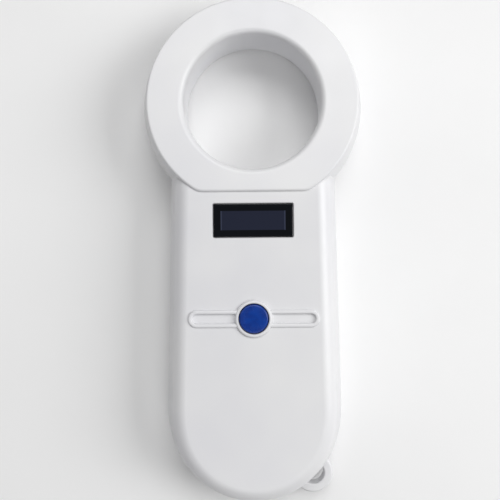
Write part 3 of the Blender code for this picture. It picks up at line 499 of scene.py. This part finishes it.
def makeRearShell(material):
    c, r = case, rearShell
    top, foot = r["top"], c["ringRadius"] - r["top"] * math.tan(c["ringBackDraft"])
    hole = c["sleeve"] + c["gap"]
    backRound = tangentLength(c["ringBackEdge"], math.pi / 2 + c["ringBackDraft"])
    ring = turned([(c["ringRadius"], top), (foot, 0), (hole, 0), (hole, top)], y=c["ringY"],
                  steps=drawing["ringSteps"], rounds=[(1, backRound), (2, r["holeEdge"])])
    eyelet = turned([(r["eyeletHole"], r["eyeletLow"]), (r["eyeletRadius"], r["eyeletLow"]),
                     (r["eyeletRadius"], r["eyeletHigh"]), (r["eyeletHole"], r["eyeletHigh"])],
                    *eyeletPlace(), steps=r["eyeletSteps"], rounds=r["eyeletRounds"])
    handle = handleSolid(top, 0.0, c["backDraft"], c["backEdge"], segments=r["handleSteps"])
    shell = join(ring, handle, eyelet)

    # hollow, with the rebate that takes the front shell's tongue
    mouth = top + c["past"]
    ringCavity = turned([(c["bore"], c["backFloor"]), (foot - c["wall"], c["backFloor"]),
                         (c["ringRadius"] - c["wall"], mouth), (c["bore"], mouth)],
                        y=c["ringY"], steps=drawing["ringSteps"])
    handleCavity = handleSolid(mouth, c["wall"], c["backDraft"], c["backEdge"] - c["wall"],
                               c["wall"] - c["past"] * math.tan(c["backDraft"]),
                               neckIn=c["neckInside"], segments=r["cavitySteps"])
    rebate = outline(r["rebateIn"], c["parting"] - r["rebateDepth"], mouth + r["rebateOver"])
    shell = cut(shell, ringCavity, handleCavity, rebate)

    # screw posts, their stepped bores and the label's recess
    places = [middleOf(name).xy for name in caseScrews]
    bosses = [post(r["bossRadius"], c["wall"] - r["bossBite"], r["bossTop"], *place)
              for place in places]
    shell = join(shell, together(*bosses))
    low, high, deep = r["cutLow"], r["cutHigh"], r["headDepth"]
    wide, narrow, lip = r["headHole"], r["screwHole"], r["headChamfer"]
    bores = [turned([(0, low), (wide + lip, low), (wide + lip, -r["lift"]), (wide, lip),
                     (wide, deep), (narrow, deep), (narrow, high), (0, high)], *place, steps=48)
             for place in places]
    size = sizeOf("rear_label")
    recess = [(size.x + 2 * c["gap"], size.y + 2 * c["gap"], r["labelCorner"] + c["gap"], z)
              for z in (low, r["labelRecess"])]
    shell = cut(shell, *bores, plate(recess, y=middleOf("rear_label").y))
    return addPiece(shell, "rearShell", material, "housing", ["rear_shell"])


# the sight is the part of the window that isn't printed black
displayWindow = dict(corner=0.35, edge=0.15, edgeSteps=3, sightWidth=22.6, sightLength=6.6)


def makeDisplayWindow(material):
    (low, high), size = boxOf("display_window"), sizeOf("display_window")
    bm = plate([(size.x, size.y, displayWindow["corner"], z) for z in (low.z, high.z)],
               y=(low.y + high.y) / 2)
    roundRim(bm, high.z, displayWindow["edge"], displayWindow["edgeSteps"])
    return addPiece(bm, "displayWindow", material, "housing", ["display_window"])


# the dish is a shallow hollow in the cap, most of it within dishShare of the radius
scanButton = dict(radius=5.1, edge=0.6, dish=0.12, dishShare=0.62, dishDrop=0.6,
                  flangeRadius=6.5, flangeThick=0.8, skirt=1.2, roof=1.4, stem=1.6)


def makeScanButton(material):
    b = scanButton
    low, high = boxOf("scan_button")
    flangeTop = case["inner"] - case["gap"]
    flangeLow, roof = flangeTop - b["flangeThick"], high.z - b["roof"]
    inside = b["radius"] - b["skirt"]
    profile = [(0, low.z), (b["stem"], low.z), (b["stem"], roof), (inside, roof),
               (inside, flangeLow), (b["flangeRadius"], flangeLow),
               (b["flangeRadius"], flangeTop), (b["radius"], flangeTop), (b["radius"], high.z),
               (b["radius"] * b["dishShare"], high.z - b["dish"] * b["dishDrop"]),
               (0, high.z - b["dish"])]
    bm = turned(profile, y=middleOf("scan_button").y, rounds=[(8, b["edge"])])
    return addPiece(bm, "scanButton", material, "scan_button", ["scan_button"])


def makeRearLabel(material):
    (low, high), size = boxOf("rear_label"), sizeOf("rear_label")
    bm = plate([(size.x, size.y, rearShell["labelCorner"], z) for z in (low.z, high.z)],
               y=(low.y + high.y) / 2)
    return addPiece(bm, "rearLabel", material, "housing", ["rear_label"])


# a flat head with a rounded shoulder, a plain shank with a blunt tip, and a cross slot that
# narrows towards its bottom; each screw is turned on from the last
caseScrew = dict(head=1.9, headThick=1.4, shoulderIn=0.3, shoulderDeep=0.45, shoulderRound=0.25,
                 shank=1.0, tip=0.6, tipShare=0.4, slotLength=2.3, slotWidth=0.55,
                 slotDepth=0.85, slotCorner=0.12, slotPast=0.5, slotTaper=(0.6, 0.7),
                 slotBottomCorner=0.1, acrossDeeper=0.01, turn=math.radians(37))


def makeCaseScrews(material):
    s = caseScrew
    for number, name in enumerate(caseScrews, 1):
        low, high = boxOf(name)
        place = middleOf(name).xy
        under = low.z + s["headThick"]
        bm = turned([(0, low.z), (s["head"] - s["shoulderIn"], low.z),
                     (s["head"], low.z + s["shoulderDeep"]), (s["head"], under),
                     (s["shank"], under), (s["shank"], high.z - s["tip"]),
                     (s["shank"] * s["tipShare"], high.z), (0, high.z)], *place, steps=48,
                    rounds=[(1, s["shoulderRound"]), (2, s["shoulderRound"])], segments=3)
        along = [(s["slotLength"], s["slotWidth"], s["slotCorner"], low.z - s["slotPast"]),
                 (s["slotLength"] * s["slotTaper"][0], s["slotWidth"] * s["slotTaper"][1],
                  s["slotBottomCorner"], low.z + s["slotDepth"])]
        across = [(length, width, radius, z - s["acrossDeeper"])
                  for width, length, radius, z in along]
        bm = cut(bm, plate(along, *place, steps=3), plate(across, *place, steps=3))
        bmesh.ops.rotate(bm, verts=bm.verts, cent=(*place, 0),
                         matrix=Matrix.Rotation(s["turn"] * number, 3, "Z"))
        addPiece(bm, f"caseScrew{number}", material, "housing", [name])


usbSocket = dict(metal=0.3, back=2.0, tongueWidth=6.6, tongueThick=0.7, tongueCorner=0.2,
                 tongueStart=1.0, tongueInBack=0.5)


def makeUsbSocket(metal, insert):
    # drawn standing up, then laid down with its mouth towards the handle's end
    u = usbSocket
    (low, high), size = boxOf("usb_socket"), sizeOf("usb_socket")
    middle = (low + high) / 2
    width, height, depth = size.x, size.z, size.y - u["back"]
    outer = (width, height, height / 2)
    inner = (width - 2 * u["metal"], height - 2 * u["metal"], height / 2 - u["metal"])
    sleeve = cut(plate([(*outer, 0), (*outer, size.y)], steps=10),
                 plate([(*inner, -case["past"]), (*inner, depth)], steps=10))
    tongue = plate([(u["tongueWidth"], u["tongueThick"], u["tongueCorner"], z)
                    for z in (u["tongueStart"], depth + u["tongueInBack"])], steps=4)
    for bm, name, material, replaced, slot in (
            (sleeve, "usbSleeve", metal, ["usb_socket"], "plated_steel"),
            (tongue, "usbTongue", insert, [], "black_plastic")):
        bmesh.ops.rotate(bm, verts=bm.verts, cent=(0, 0, 0),
                         matrix=Matrix.Rotation(-math.pi / 2, 3, "X"))
        bmesh.ops.translate(bm, verts=bm.verts, vec=(middle.x, low.y, middle.z))
        addPiece(bm, name, material, "housing", replaced)


# materials: colours are given as the hex seen on the real thing, sizes are in millimetres
def linearColour(hexText):
    values = [int(hexText[start:start + 2], 16) / 255 for start in (0, 2, 4)]
    return (*[value / 12.92 if value <= 0.04045 else ((value + 0.055) / 1.055) ** 2.4
              for value in values], 1.0)


def addNode(tree, kind, inputs=None, output=0, stops=(), **settings):
    # adds a node and gives one of its outputs; an input is a value, or an output to link,
    # and a ramp's stops are (place, hex colour)
    made = tree.nodes.new("ShaderNode" + kind)
    for name, value in settings.items():
        setattr(made, name, value)
    for name, value in (inputs or {}).items():
        if isinstance(value, bpy.types.NodeSocket):
            tree.links.new(value, made.inputs[name])
        else:
            made.inputs[name].default_value = value
    for index, (place, colour) in enumerate(stops):
        made.color_ramp.elements[index].position = place
        made.color_ramp.elements[index].color = linearColour(colour)
    return made.outputs[output]


# a colour Mix node has several sockets of the same name, so they go by number
mixShare, mixFirst, mixSecond, mixResult = 0, 6, 7, 2

# the middle values of soft noise, which patches of colour and of gloss are drawn from
colourCore, glossCore = (0.35, 0.65), (0.3, 0.7)


def startMaterial(name, **shaderValues):
    # a new material, its shader and the piece's own coordinates in metres
    material = bpy.data.materials.new(name)
    material.use_nodes = True
    tree = material.node_tree
    shader = tree.nodes["Principled BSDF"]
    for socket, value in shaderValues.items():
        shader.inputs[socket].default_value = value
    return material, tree, shader, addNode(tree, "TexCoord", output="Object")


def coverShader(tree, shader, colour, roughness, normal=None):
    tree.links.new(colour, shader.inputs["Base Color"])
    tree.links.new(roughness, shader.inputs["Roughness"])
    if normal is not None:
        tree.links.new(normal, shader.inputs["Normal"])


def patchyColour(tree, place, patch, dark, light, detail=2.0):
    # drifts between two shades over patches of this size
    noise = addNode(tree, "TexNoise", {"Vector": place, "Scale": 1 / (patch * mm),
                                       "Detail": detail}, "Fac")
    return addNode(tree, "ValToRGB", {"Fac": noise}, "Color",
                   stops=zip(colourCore, (dark, light)))


def patchyValue(tree, place, patch, low, high, detail=2.0):
    # drifts between two values over patches of this size
    noise = addNode(tree, "TexNoise", {"Vector": place, "Scale": 1 / (patch * mm),
                                       "Detail": detail}, "Fac")
    return addNode(tree, "MapRange", {"Value": noise, "From Min": glossCore[0],
                                      "From Max": glossCore[1], "To Min": low, "To Max": high})


def fineGrain(tree, place, patch, depth):
    # surface grain of this size and depth
    noise = addNode(tree, "TexNoise", {"Vector": place, "Scale": 1 / (patch * mm)}, "Fac")
    return addNode(tree, "Bump", {"Height": noise, "Distance": depth * mm})


def insideBox(tree, place, middle, width, length, soft):
    # 1 inside a rectangle seen from the front, fading to 0 over soft outside it
    inside = 1.0
    for axis, centre, half in (("X", middle.x, width / 2), ("Y", middle.y, length / 2)):
        along = addNode(tree, "SeparateXYZ", {"Vector": place}, axis)
        offset = addNode(tree, "Math", {0: along, 1: centre * mm}, operation="SUBTRACT")
        distance = addNode(tree, "Math", {0: offset}, operation="ABSOLUTE")
        share = addNode(tree, "MapRange", {"Value": distance, "From Min": (half + soft) * mm,
                                           "From Max": half * mm, "To Min": 0.0, "To Max": 1.0})
        inside = addNode(tree, "Math", {0: share, 1: inside}, operation="MULTIPLY")
    return inside


def reachFrom(tree, place, y):
    # distance from the upright line at x = 0 and this y
    flat = addNode(tree, "Mapping", {"Vector": place, "Location": (0, -y * mm, 0),
                                     "Scale": (1, 1, 0)})
    return addNode(tree, "VectorMath", {0: flat}, "Value", operation="LENGTH")


def plainSurface(name, dark, light, patch, roughness, grain, depth, ior):
    # mottled colour, uneven gloss in smaller patches and a fine grain
    material, tree, shader, place = startMaterial(name, IOR=ior)
    coverShader(tree, shader, patchyColour(tree, place, patch, dark, light, detail=3.0),
                patchyValue(tree, place, patch * 0.4, *roughness),
                fineGrain(tree, place, grain, depth))
    return material


whiteFinish = dict(dark="E0E0E3", light="E6E6E7", flow=38.0, rough=(0.34, 0.42), roughPatch=9.0,
                   grain=0.45, wave=14.0, waveShare=2.0, depth=0.012, ior=1.54)


def whiteAbs():
    # moulded white ABS: satin, with the mould's spark-eroded grain and slow flow marks;
    # the real grain is near 0.1 mm and is drawn coarser so that it stays visible
    w = whiteFinish
    material, tree, shader, place = startMaterial("whiteAbs", IOR=w["ior"])
    fine = addNode(tree, "TexNoise", {"Vector": place, "Scale": 1 / (w["grain"] * mm),
                                      "Detail": 3.0}, "Fac")
    wave = addNode(tree, "TexNoise", {"Vector": place, "Scale": 1 / (w["wave"] * mm),
                                      "Detail": 1.0}, "Fac")
    height = addNode(tree, "Math", {0: wave, 1: w["waveShare"], 2: fine},
                     operation="MULTIPLY_ADD")
    coverShader(tree, shader, patchyColour(tree, place, w["flow"], w["dark"], w["light"]),
                patchyValue(tree, place, w["roughPatch"], *w["rough"]),
                addNode(tree, "Bump", {"Height": height, "Distance": w["depth"] * mm}))
    return material


# rough is from the polished middle to the rim, and wear is how far patches stray from it
blueFinish = dict(dark="002F84", light="003994", patch=2.5, rough=(0.2, 0.3),
                  polished=(1.0, 4.6), wear=0.03, wearPatch=1.2, grain=0.35, depth=0.006,
                  ior=1.54)


def blueAbs():
    # cobalt ABS of the button: semi-gloss, a finger-polished middle and finer grain
    b = blueFinish
    material, tree, shader, place = startMaterial("blueAbs", IOR=b["ior"])
    reach = reachFrom(tree, place, middleOf("scan_button").y)
    polish = addNode(tree, "MapRange", {
        "Value": reach, "From Min": b["polished"][0] * mm, "From Max": b["polished"][1] * mm,
        "To Min": b["rough"][0], "To Max": b["rough"][1]})
    wear = patchyValue(tree, place, b["wearPatch"], -b["wear"], b["wear"])
    coverShader(tree, shader, patchyColour(tree, place, b["patch"], b["dark"], b["light"]),
                addNode(tree, "Math", {0: polish, 1: wear}, operation="ADD"),
                fineGrain(tree, place, b["grain"], b["depth"]))
    return material


# the line runs down both ends of the sight, and soft is how far their edges fade
windowFinish = dict(black="04070D", panel="1F2333", row="222637", line="3A3F52", lineWide=0.35,
                    soft=0.12, rowPitch=0.4, rowCore=(0.2, 0.8), rough=(0.05, 0.1),
                    roughPatch=5.0, ior=1.49)


def smokedWindow():
    # acrylic printed black on its underside, with the dark display seen through the sight
    d, w = displayWindow, windowFinish
    material, tree, shader, place = startMaterial("smokedWindow", IOR=w["ior"])
    middle = middleOf("display_window")
    sight = insideBox(tree, place, middle, d["sightWidth"], d["sightLength"], w["soft"])
    core = insideBox(tree, place, middle, d["sightWidth"] - 2 * w["lineWide"],
                     d["sightLength"] + 2 * case["past"], w["soft"])
    outside = addNode(tree, "Math", {0: 1.0, 1: core}, operation="SUBTRACT")
    line = addNode(tree, "Math", {0: sight, 1: outside}, operation="MULTIPLY")
    # the panel's rows of dots are near 0.2 mm apart and are drawn at 0.4 mm;
    # a wave node at a scale of 1 repeats every twentieth of a full turn
    rows = addNode(tree, "TexWave", {"Vector": place,
                                     "Scale": math.tau / 20 / (w["rowPitch"] * mm)},
                   "Fac", bands_direction="Y")
    panel = addNode(tree, "ValToRGB", {"Fac": rows}, "Color",
                    stops=zip(w["rowCore"], (w["panel"], w["row"])))
    behind = addNode(tree, "Mix", {mixShare: sight, mixFirst: linearColour(w["black"]),
                                   mixSecond: panel}, mixResult, data_type="RGBA")
    colour = addNode(tree, "Mix", {mixShare: line, mixFirst: behind,
                                   mixSecond: linearColour(w["line"])}, mixResult,
                     data_type="RGBA")
    coverShader(tree, shader, colour,
                patchyValue(tree, place, w["roughPatch"], *w["rough"], detail=4.0))
    return material


steelFinish = dict(dark="B9BBBE", light="CFD0D2", patch=1.6, rough=(0.24, 0.38), roughPatch=0.5,
                   marks=0.25, squeeze=(1, 1, 6), depth=0.004)


def platedSteel():
    # nickel-plated steel: bright metal with fine turning marks and dull patches
    s = steelFinish
    material, tree, shader, place = startMaterial("platedSteel", Metallic=1.0)
    squeezed = addNode(tree, "Mapping", {"Vector": place, "Scale": s["squeeze"]})
    coverShader(tree, shader, patchyColour(tree, place, s["patch"], s["dark"], s["light"]),
                patchyValue(tree, place, s["roughPatch"], *s["rough"], detail=4.0),
                fineGrain(tree, squeezed, s["marks"], s["depth"]))
    return material


# the line runs lineIn inside the label's edge
labelFinish = dict(dark="DADBDD", light="E0E1E3", patch=6.0, line="8C9199", lineIn=2.0,
                   lineWide=0.4, soft=0.05, rough=(0.42, 0.5), roughPatch=2.0, grain=0.4,
                   depth=0.004, ior=1.57)


def labelFilm():
    # blank matt polyester label: pale grey, a finer tint line just inside its edge
    f = labelFinish
    material, tree, shader, place = startMaterial("labelFilm", IOR=f["ior"])
    middle, size = middleOf("rear_label"), sizeOf("rear_label")
    inside, deeper = [insideBox(tree, place, middle, size.x - 2 * margin, size.y - 2 * margin,
                                f["soft"])
                      for margin in (f["lineIn"], f["lineIn"] + f["lineWide"])]
    line = addNode(tree, "Math", {0: inside, 1: deeper}, operation="SUBTRACT")
    paper = patchyColour(tree, place, f["patch"], f["dark"], f["light"])
    colour = addNode(tree, "Mix", {mixShare: line, mixFirst: paper,
                                   mixSecond: linearColour(f["line"])}, mixResult,
                     data_type="RGBA")
    coverShader(tree, shader, colour, patchyValue(tree, place, f["roughPatch"], *f["rough"]),
                fineGrain(tree, place, f["grain"], f["depth"]))
    return material


# cells are the pattern's blocks; tracks and holes are shares of a block's width
boardFinish = dict(bare="0C4A24", track="1B6B38", hole="C9B26A", cells=3.0, folds=0.12,
                   trackEdge=(0.045, 0.06), holeEdge=(0.05, 0.035), trackRise=0.03,
                   rough=(0.26, 0.36), roughPatch=2.0, ior=1.5)


def circuitBoard():
    # green solder mask over copper: slightly raised tracks and small plated holes
    b = boardFinish
    material, tree, shader, place = startMaterial("circuitBoard", IOR=b["ior"])
    cells = addNode(tree, "TexVoronoi", {"Vector": place, "Scale": 1 / (b["cells"] * mm)},
                    "Distance", distance="MANHATTAN", feature="F1")
    folds = addNode(tree, "Math", {0: cells, 1: b["folds"]}, operation="PINGPONG")
    tracks, holes = [
        addNode(tree, "MapRange", {"Value": value, "From Min": start, "From Max": end,
                                   "To Min": 0.0, "To Max": 1.0})
        for value, (start, end) in ((folds, b["trackEdge"]), (cells, b["holeEdge"]))]
    mask = addNode(tree, "Mix", {mixShare: tracks, mixFirst: linearColour(b["bare"]),
                                 mixSecond: linearColour(b["track"])}, mixResult,
                   data_type="RGBA")
    colour = addNode(tree, "Mix", {mixShare: holes, mixFirst: mask,
                                   mixSecond: linearColour(b["hole"])}, mixResult,
                     data_type="RGBA")
    coverShader(tree, shader, colour, patchyValue(tree, place, b["roughPatch"], *b["rough"]),
                addNode(tree, "Bump", {"Height": tracks, "Distance": b["trackRise"] * mm}))
    return material


# pitch is from one turn to the next, and a ridge stands ridgeShare of it high; the groove colour
# is painted shade and the crown colour a painted highlight
copperFinish = dict(shadedValley="7A3A16", ridge="C8703A", ridgeCore=(0.05, 0.6), ridgeShare=1 / 3,
                    rough=(0.25, 0.36), roughPatch=1.5, coilPitch=0.35, leadPitch=0.2)


def enamelledCopper(name, middle, pitch):
    # enamelled copper wire laid turn by turn: rounded ridges every pitch millimetres, painted
    # darker in the grooves as painted shade and lighter on the crowns as a painted highlight
    c = copperFinish
    material, tree, shader, place = startMaterial(name, Metallic=1.0)
    height = addNode(tree, "SeparateXYZ", {"Vector": place}, "Z")
    across = addNode(tree, "Math", {0: height, 1: reachFrom(tree, place, middle.y)},
                     operation="ADD")
    turns = addNode(tree, "Math", {0: across, 1: pitch * mm / 2}, operation="PINGPONG")
    ridge = addNode(tree, "MapRange", {"Value": turns, "From Min": 0.0,
                                       "From Max": pitch * mm / 2, "To Min": 0.0, "To Max": 1.0})
    # painted shade in the grooves between turns and a painted highlight on each turn's crown,
    # drawn from the same ridge as the bump
    colour = addNode(tree, "ValToRGB", {"Fac": ridge}, "Color",
                     stops=zip(c["ridgeCore"], (c["shadedValley"], c["ridge"])))
    coverShader(tree, shader, colour, patchyValue(tree, place, c["roughPatch"], *c["rough"]),
                addNode(tree, "Bump", {"Height": ridge,
                                       "Distance": pitch * c["ridgeShare"] * mm}))
    return material


foilFinish = dict(dark="B4B6BA", light="D2D4D7", creases=7.0, creaseDepth=0.25,
                  rough=(0.3, 0.42), roughPatch=3.0)


def crinkledFoil():
    # aluminium pouch foil: bright, softly crinkled, with painted shade in the crinkles' hollows
    # and a painted highlight on their crests
    f = foilFinish
    material, tree, shader, place = startMaterial("pouchFoil", Metallic=1.0)
    creases = addNode(tree, "TexNoise", {"Vector": place, "Scale": 1 / (f["creases"] * mm),
                                         "Detail": 5.0}, "Fac")
    # the colour follows the crinkles' height: hollows are painted darker as painted shade,
    # crests lighter as a painted highlight
    colour = addNode(tree, "ValToRGB", {"Fac": creases}, "Color",
                     stops=zip(colourCore, (f["dark"], f["light"])))
    coverShader(tree, shader, colour, patchyValue(tree, place, f["roughPatch"], *f["rough"]),
                addNode(tree, "Bump", {"Height": creases, "Distance": f["creaseDepth"] * mm}))
    return material


plainFinishes = dict(
    # moulded black plastic: dull, faintly grained
    blackPlastic=dict(dark="1B1B1D", light="242427", patch=3.0, roughness=(0.42, 0.5),
                      grain=0.4, depth=0.01, ior=1.5),
    # moulded grey plastic: dull, a little uneven
    greyPlastic=dict(dark="9A9A9C", light="A2A2A5", patch=5.0, roughness=(0.4, 0.5),
                     grain=0.4, depth=0.01, ior=1.5),
    # display glass, dark and smooth
    panelGlass=dict(dark="23252E", light="292C37", patch=4.0, roughness=(0.06, 0.1),
                    grain=3.0, depth=0.002, ior=1.52),
    # amber flexible film, glossy, slightly rippled
    polyimide=dict(dark="A8742F", light="B47F36", patch=1.5, roughness=(0.22, 0.3),
                   grain=1.5, depth=0.02, ior=1.7),
    # black acrylic-foam tape, dull and open-grained
    blackTape=dict(dark="161617", light="1F1F21", patch=1.0, roughness=(0.7, 0.8),
                   grain=0.35, depth=0.04, ior=1.45),
    # fired ceramic of the capacitors: sandy brown, matt
    ceramic=dict(dark="9E886C", light="AA9478", patch=0.8, roughness=(0.45, 0.55),
                 grain=0.3, depth=0.01, ior=1.6),
    # closed-cell foam: dull grey with open pores
    greyFoam=dict(dark="55565A", light="68696D", patch=0.9, roughness=(0.8, 0.9),
                  grain=0.5, depth=0.12, ior=1.45),
    # extruded wire insulation: slightly waxy red
    redInsulation=dict(dark="A81E1C", light="B82523", patch=2.0, roughness=(0.32, 0.4),
                       grain=0.4, depth=0.006, ior=1.48),
    # matt white paper sweep of the floor, a touch uneven
    floorPaper=dict(dark="F1F1F1", light="F4F4F4", patch=90.0, roughness=(0.85, 0.92),
                    grain=1.5, depth=0.01, ior=1.45),
)
plain = {name: plainSurface(name, **values) for name, values in plainFinishes.items()}
white, steel = whiteAbs(), platedSteel()
print("materials made:", len(bpy.data.materials))

makeFrontShell(white)
makeRearShell(white)
makeDisplayWindow(smokedWindow())
makeScanButton(blueAbs())
makeRearLabel(labelFilm())
makeCaseScrews(steel)
makeUsbSocket(steel, plain["blackPlastic"])

# inner parts keep their own shape and take a finish; those not named are moulded black
innerFinish = [
    (plain["blackTape"], ["window_tape"]), (plain["panelGlass"], ["oled_panel"]),
    (plain["polyimide"], ["oled_flex"]), (circuitBoard(), ["main_board"]),
    (steel, ["crystal_can"] + boardScrews),
    (plain["ceramic"], numbered("tuning_capacitor", 2)),
    (plain["greyPlastic"], ["coil_former"]), (plain["greyFoam"], ["battery_pad"]),
    (crinkledFoil(), ["battery_cell"]), (plain["redInsulation"], ["battery_lead_red"]),
    (enamelledCopper("coilCopper", middleOf("antenna_coil"), copperFinish["coilPitch"]),
     ["antenna_coil"]),
    (enamelledCopper("leadCopper", middleOf("coil_lead_1"), copperFinish["leadPitch"]),
     numbered("coil_lead", 2)),
]
named = {name for _, names in innerFinish for name in names}
replacedNodes = {"front_shell", "rear_shell", "display_window", "scan_button", "rear_label",
                 "usb_socket", *caseScrews}
blackNodes = sorted(set(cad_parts) - named - replacedNodes)
for material, names in innerFinish + [(plain["blackPlastic"], blackNodes)]:
    for name in names:
        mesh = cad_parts[name].data
        mesh.materials.clear()
        mesh.materials.append(material)
print("inner parts finished; moulded black:", blackNodes)

# floor, soft boxes and camera; a light is (turn from +X towards +Y in degrees, rise above
# the floor in degrees, watts, side of the box)
studio = dict(floorSize=3000.0, worldShade=0.14, lightDistance=1200.0)
lights = dict(keyLight=(5, 38, 8.8, 720), fillLight=(140, 40, 1.9, 850),
              frontLight=(280, 52, 2.3, 700), topLight=(80, 56, 5.0, 600))
view = dict(sensor=36.0, lens=43.87, near=0.01, far=20.0, place=(1.209, 1.315, 240.63),
            turnX=math.radians(0.344), turnY=math.radians(-0.63), turnZ=math.radians(0.458))


def makeFloor():
    bm = bmesh.new()
    bmesh.ops.create_grid(bm, x_segments=1, y_segments=1, size=studio["floorSize"] / 2 * mm)
    floor = bpy.data.objects.new("floor", finishBmesh(bm, "floor"))
    bpy.context.scene.collection.objects.link(floor)
    floor.data.materials.append(plain["floorPaper"])


def addLight(name, turn, rise, power, size):
    # a square soft box aimed at the scanner
    light = bpy.data.lights.new(name, "AREA")
    light.energy, light.size = power, size * mm
    lamp = bpy.data.objects.new(name, light)
    turn, rise = math.radians(turn), math.radians(rise)
    away = Vector((math.cos(rise) * math.cos(turn), math.cos(rise) * math.sin(turn),
                   math.sin(rise)))
    lamp.location = away * studio["lightDistance"] * mm
    lamp.rotation_euler = away.to_track_quat("Z", "Y").to_euler()
    bpy.context.scene.collection.objects.link(lamp)


def setWorld():
    world = bpy.context.scene.world or bpy.data.worlds.new("studio")
    bpy.context.scene.world = world
    world.use_nodes = True
    background = world.node_tree.nodes["Background"]
    background.inputs["Color"].default_value = (1.0, 1.0, 1.0, 1.0)
    background.inputs["Strength"].default_value = studio["worldShade"]
    bpy.context.scene.view_settings.view_transform = "Standard"


def addCamera():
    camera = bpy.data.cameras.new("camera")
    camera.sensor_width, camera.lens = view["sensor"], view["lens"]
    camera.clip_start, camera.clip_end = view["near"], view["far"]
    viewer = bpy.data.objects.new("camera", camera)
    worldToCamera = (Matrix.Rotation(view["turnZ"], 3, "Z")
                     @ Matrix.Rotation(view["turnY"], 3, "Y")
                     @ Matrix.Rotation(view["turnX"], 3, "X"))
    viewer.location = Vector(view["place"]) * mm
    viewer.rotation_euler = worldToCamera.transposed().to_euler()
    bpy.context.scene.collection.objects.link(viewer)
    bpy.context.scene.camera = viewer


makeFloor()
for name, values in lights.items():
    addLight(name, *values)
setWorld()
addCamera()
print("stage, lights and camera set")
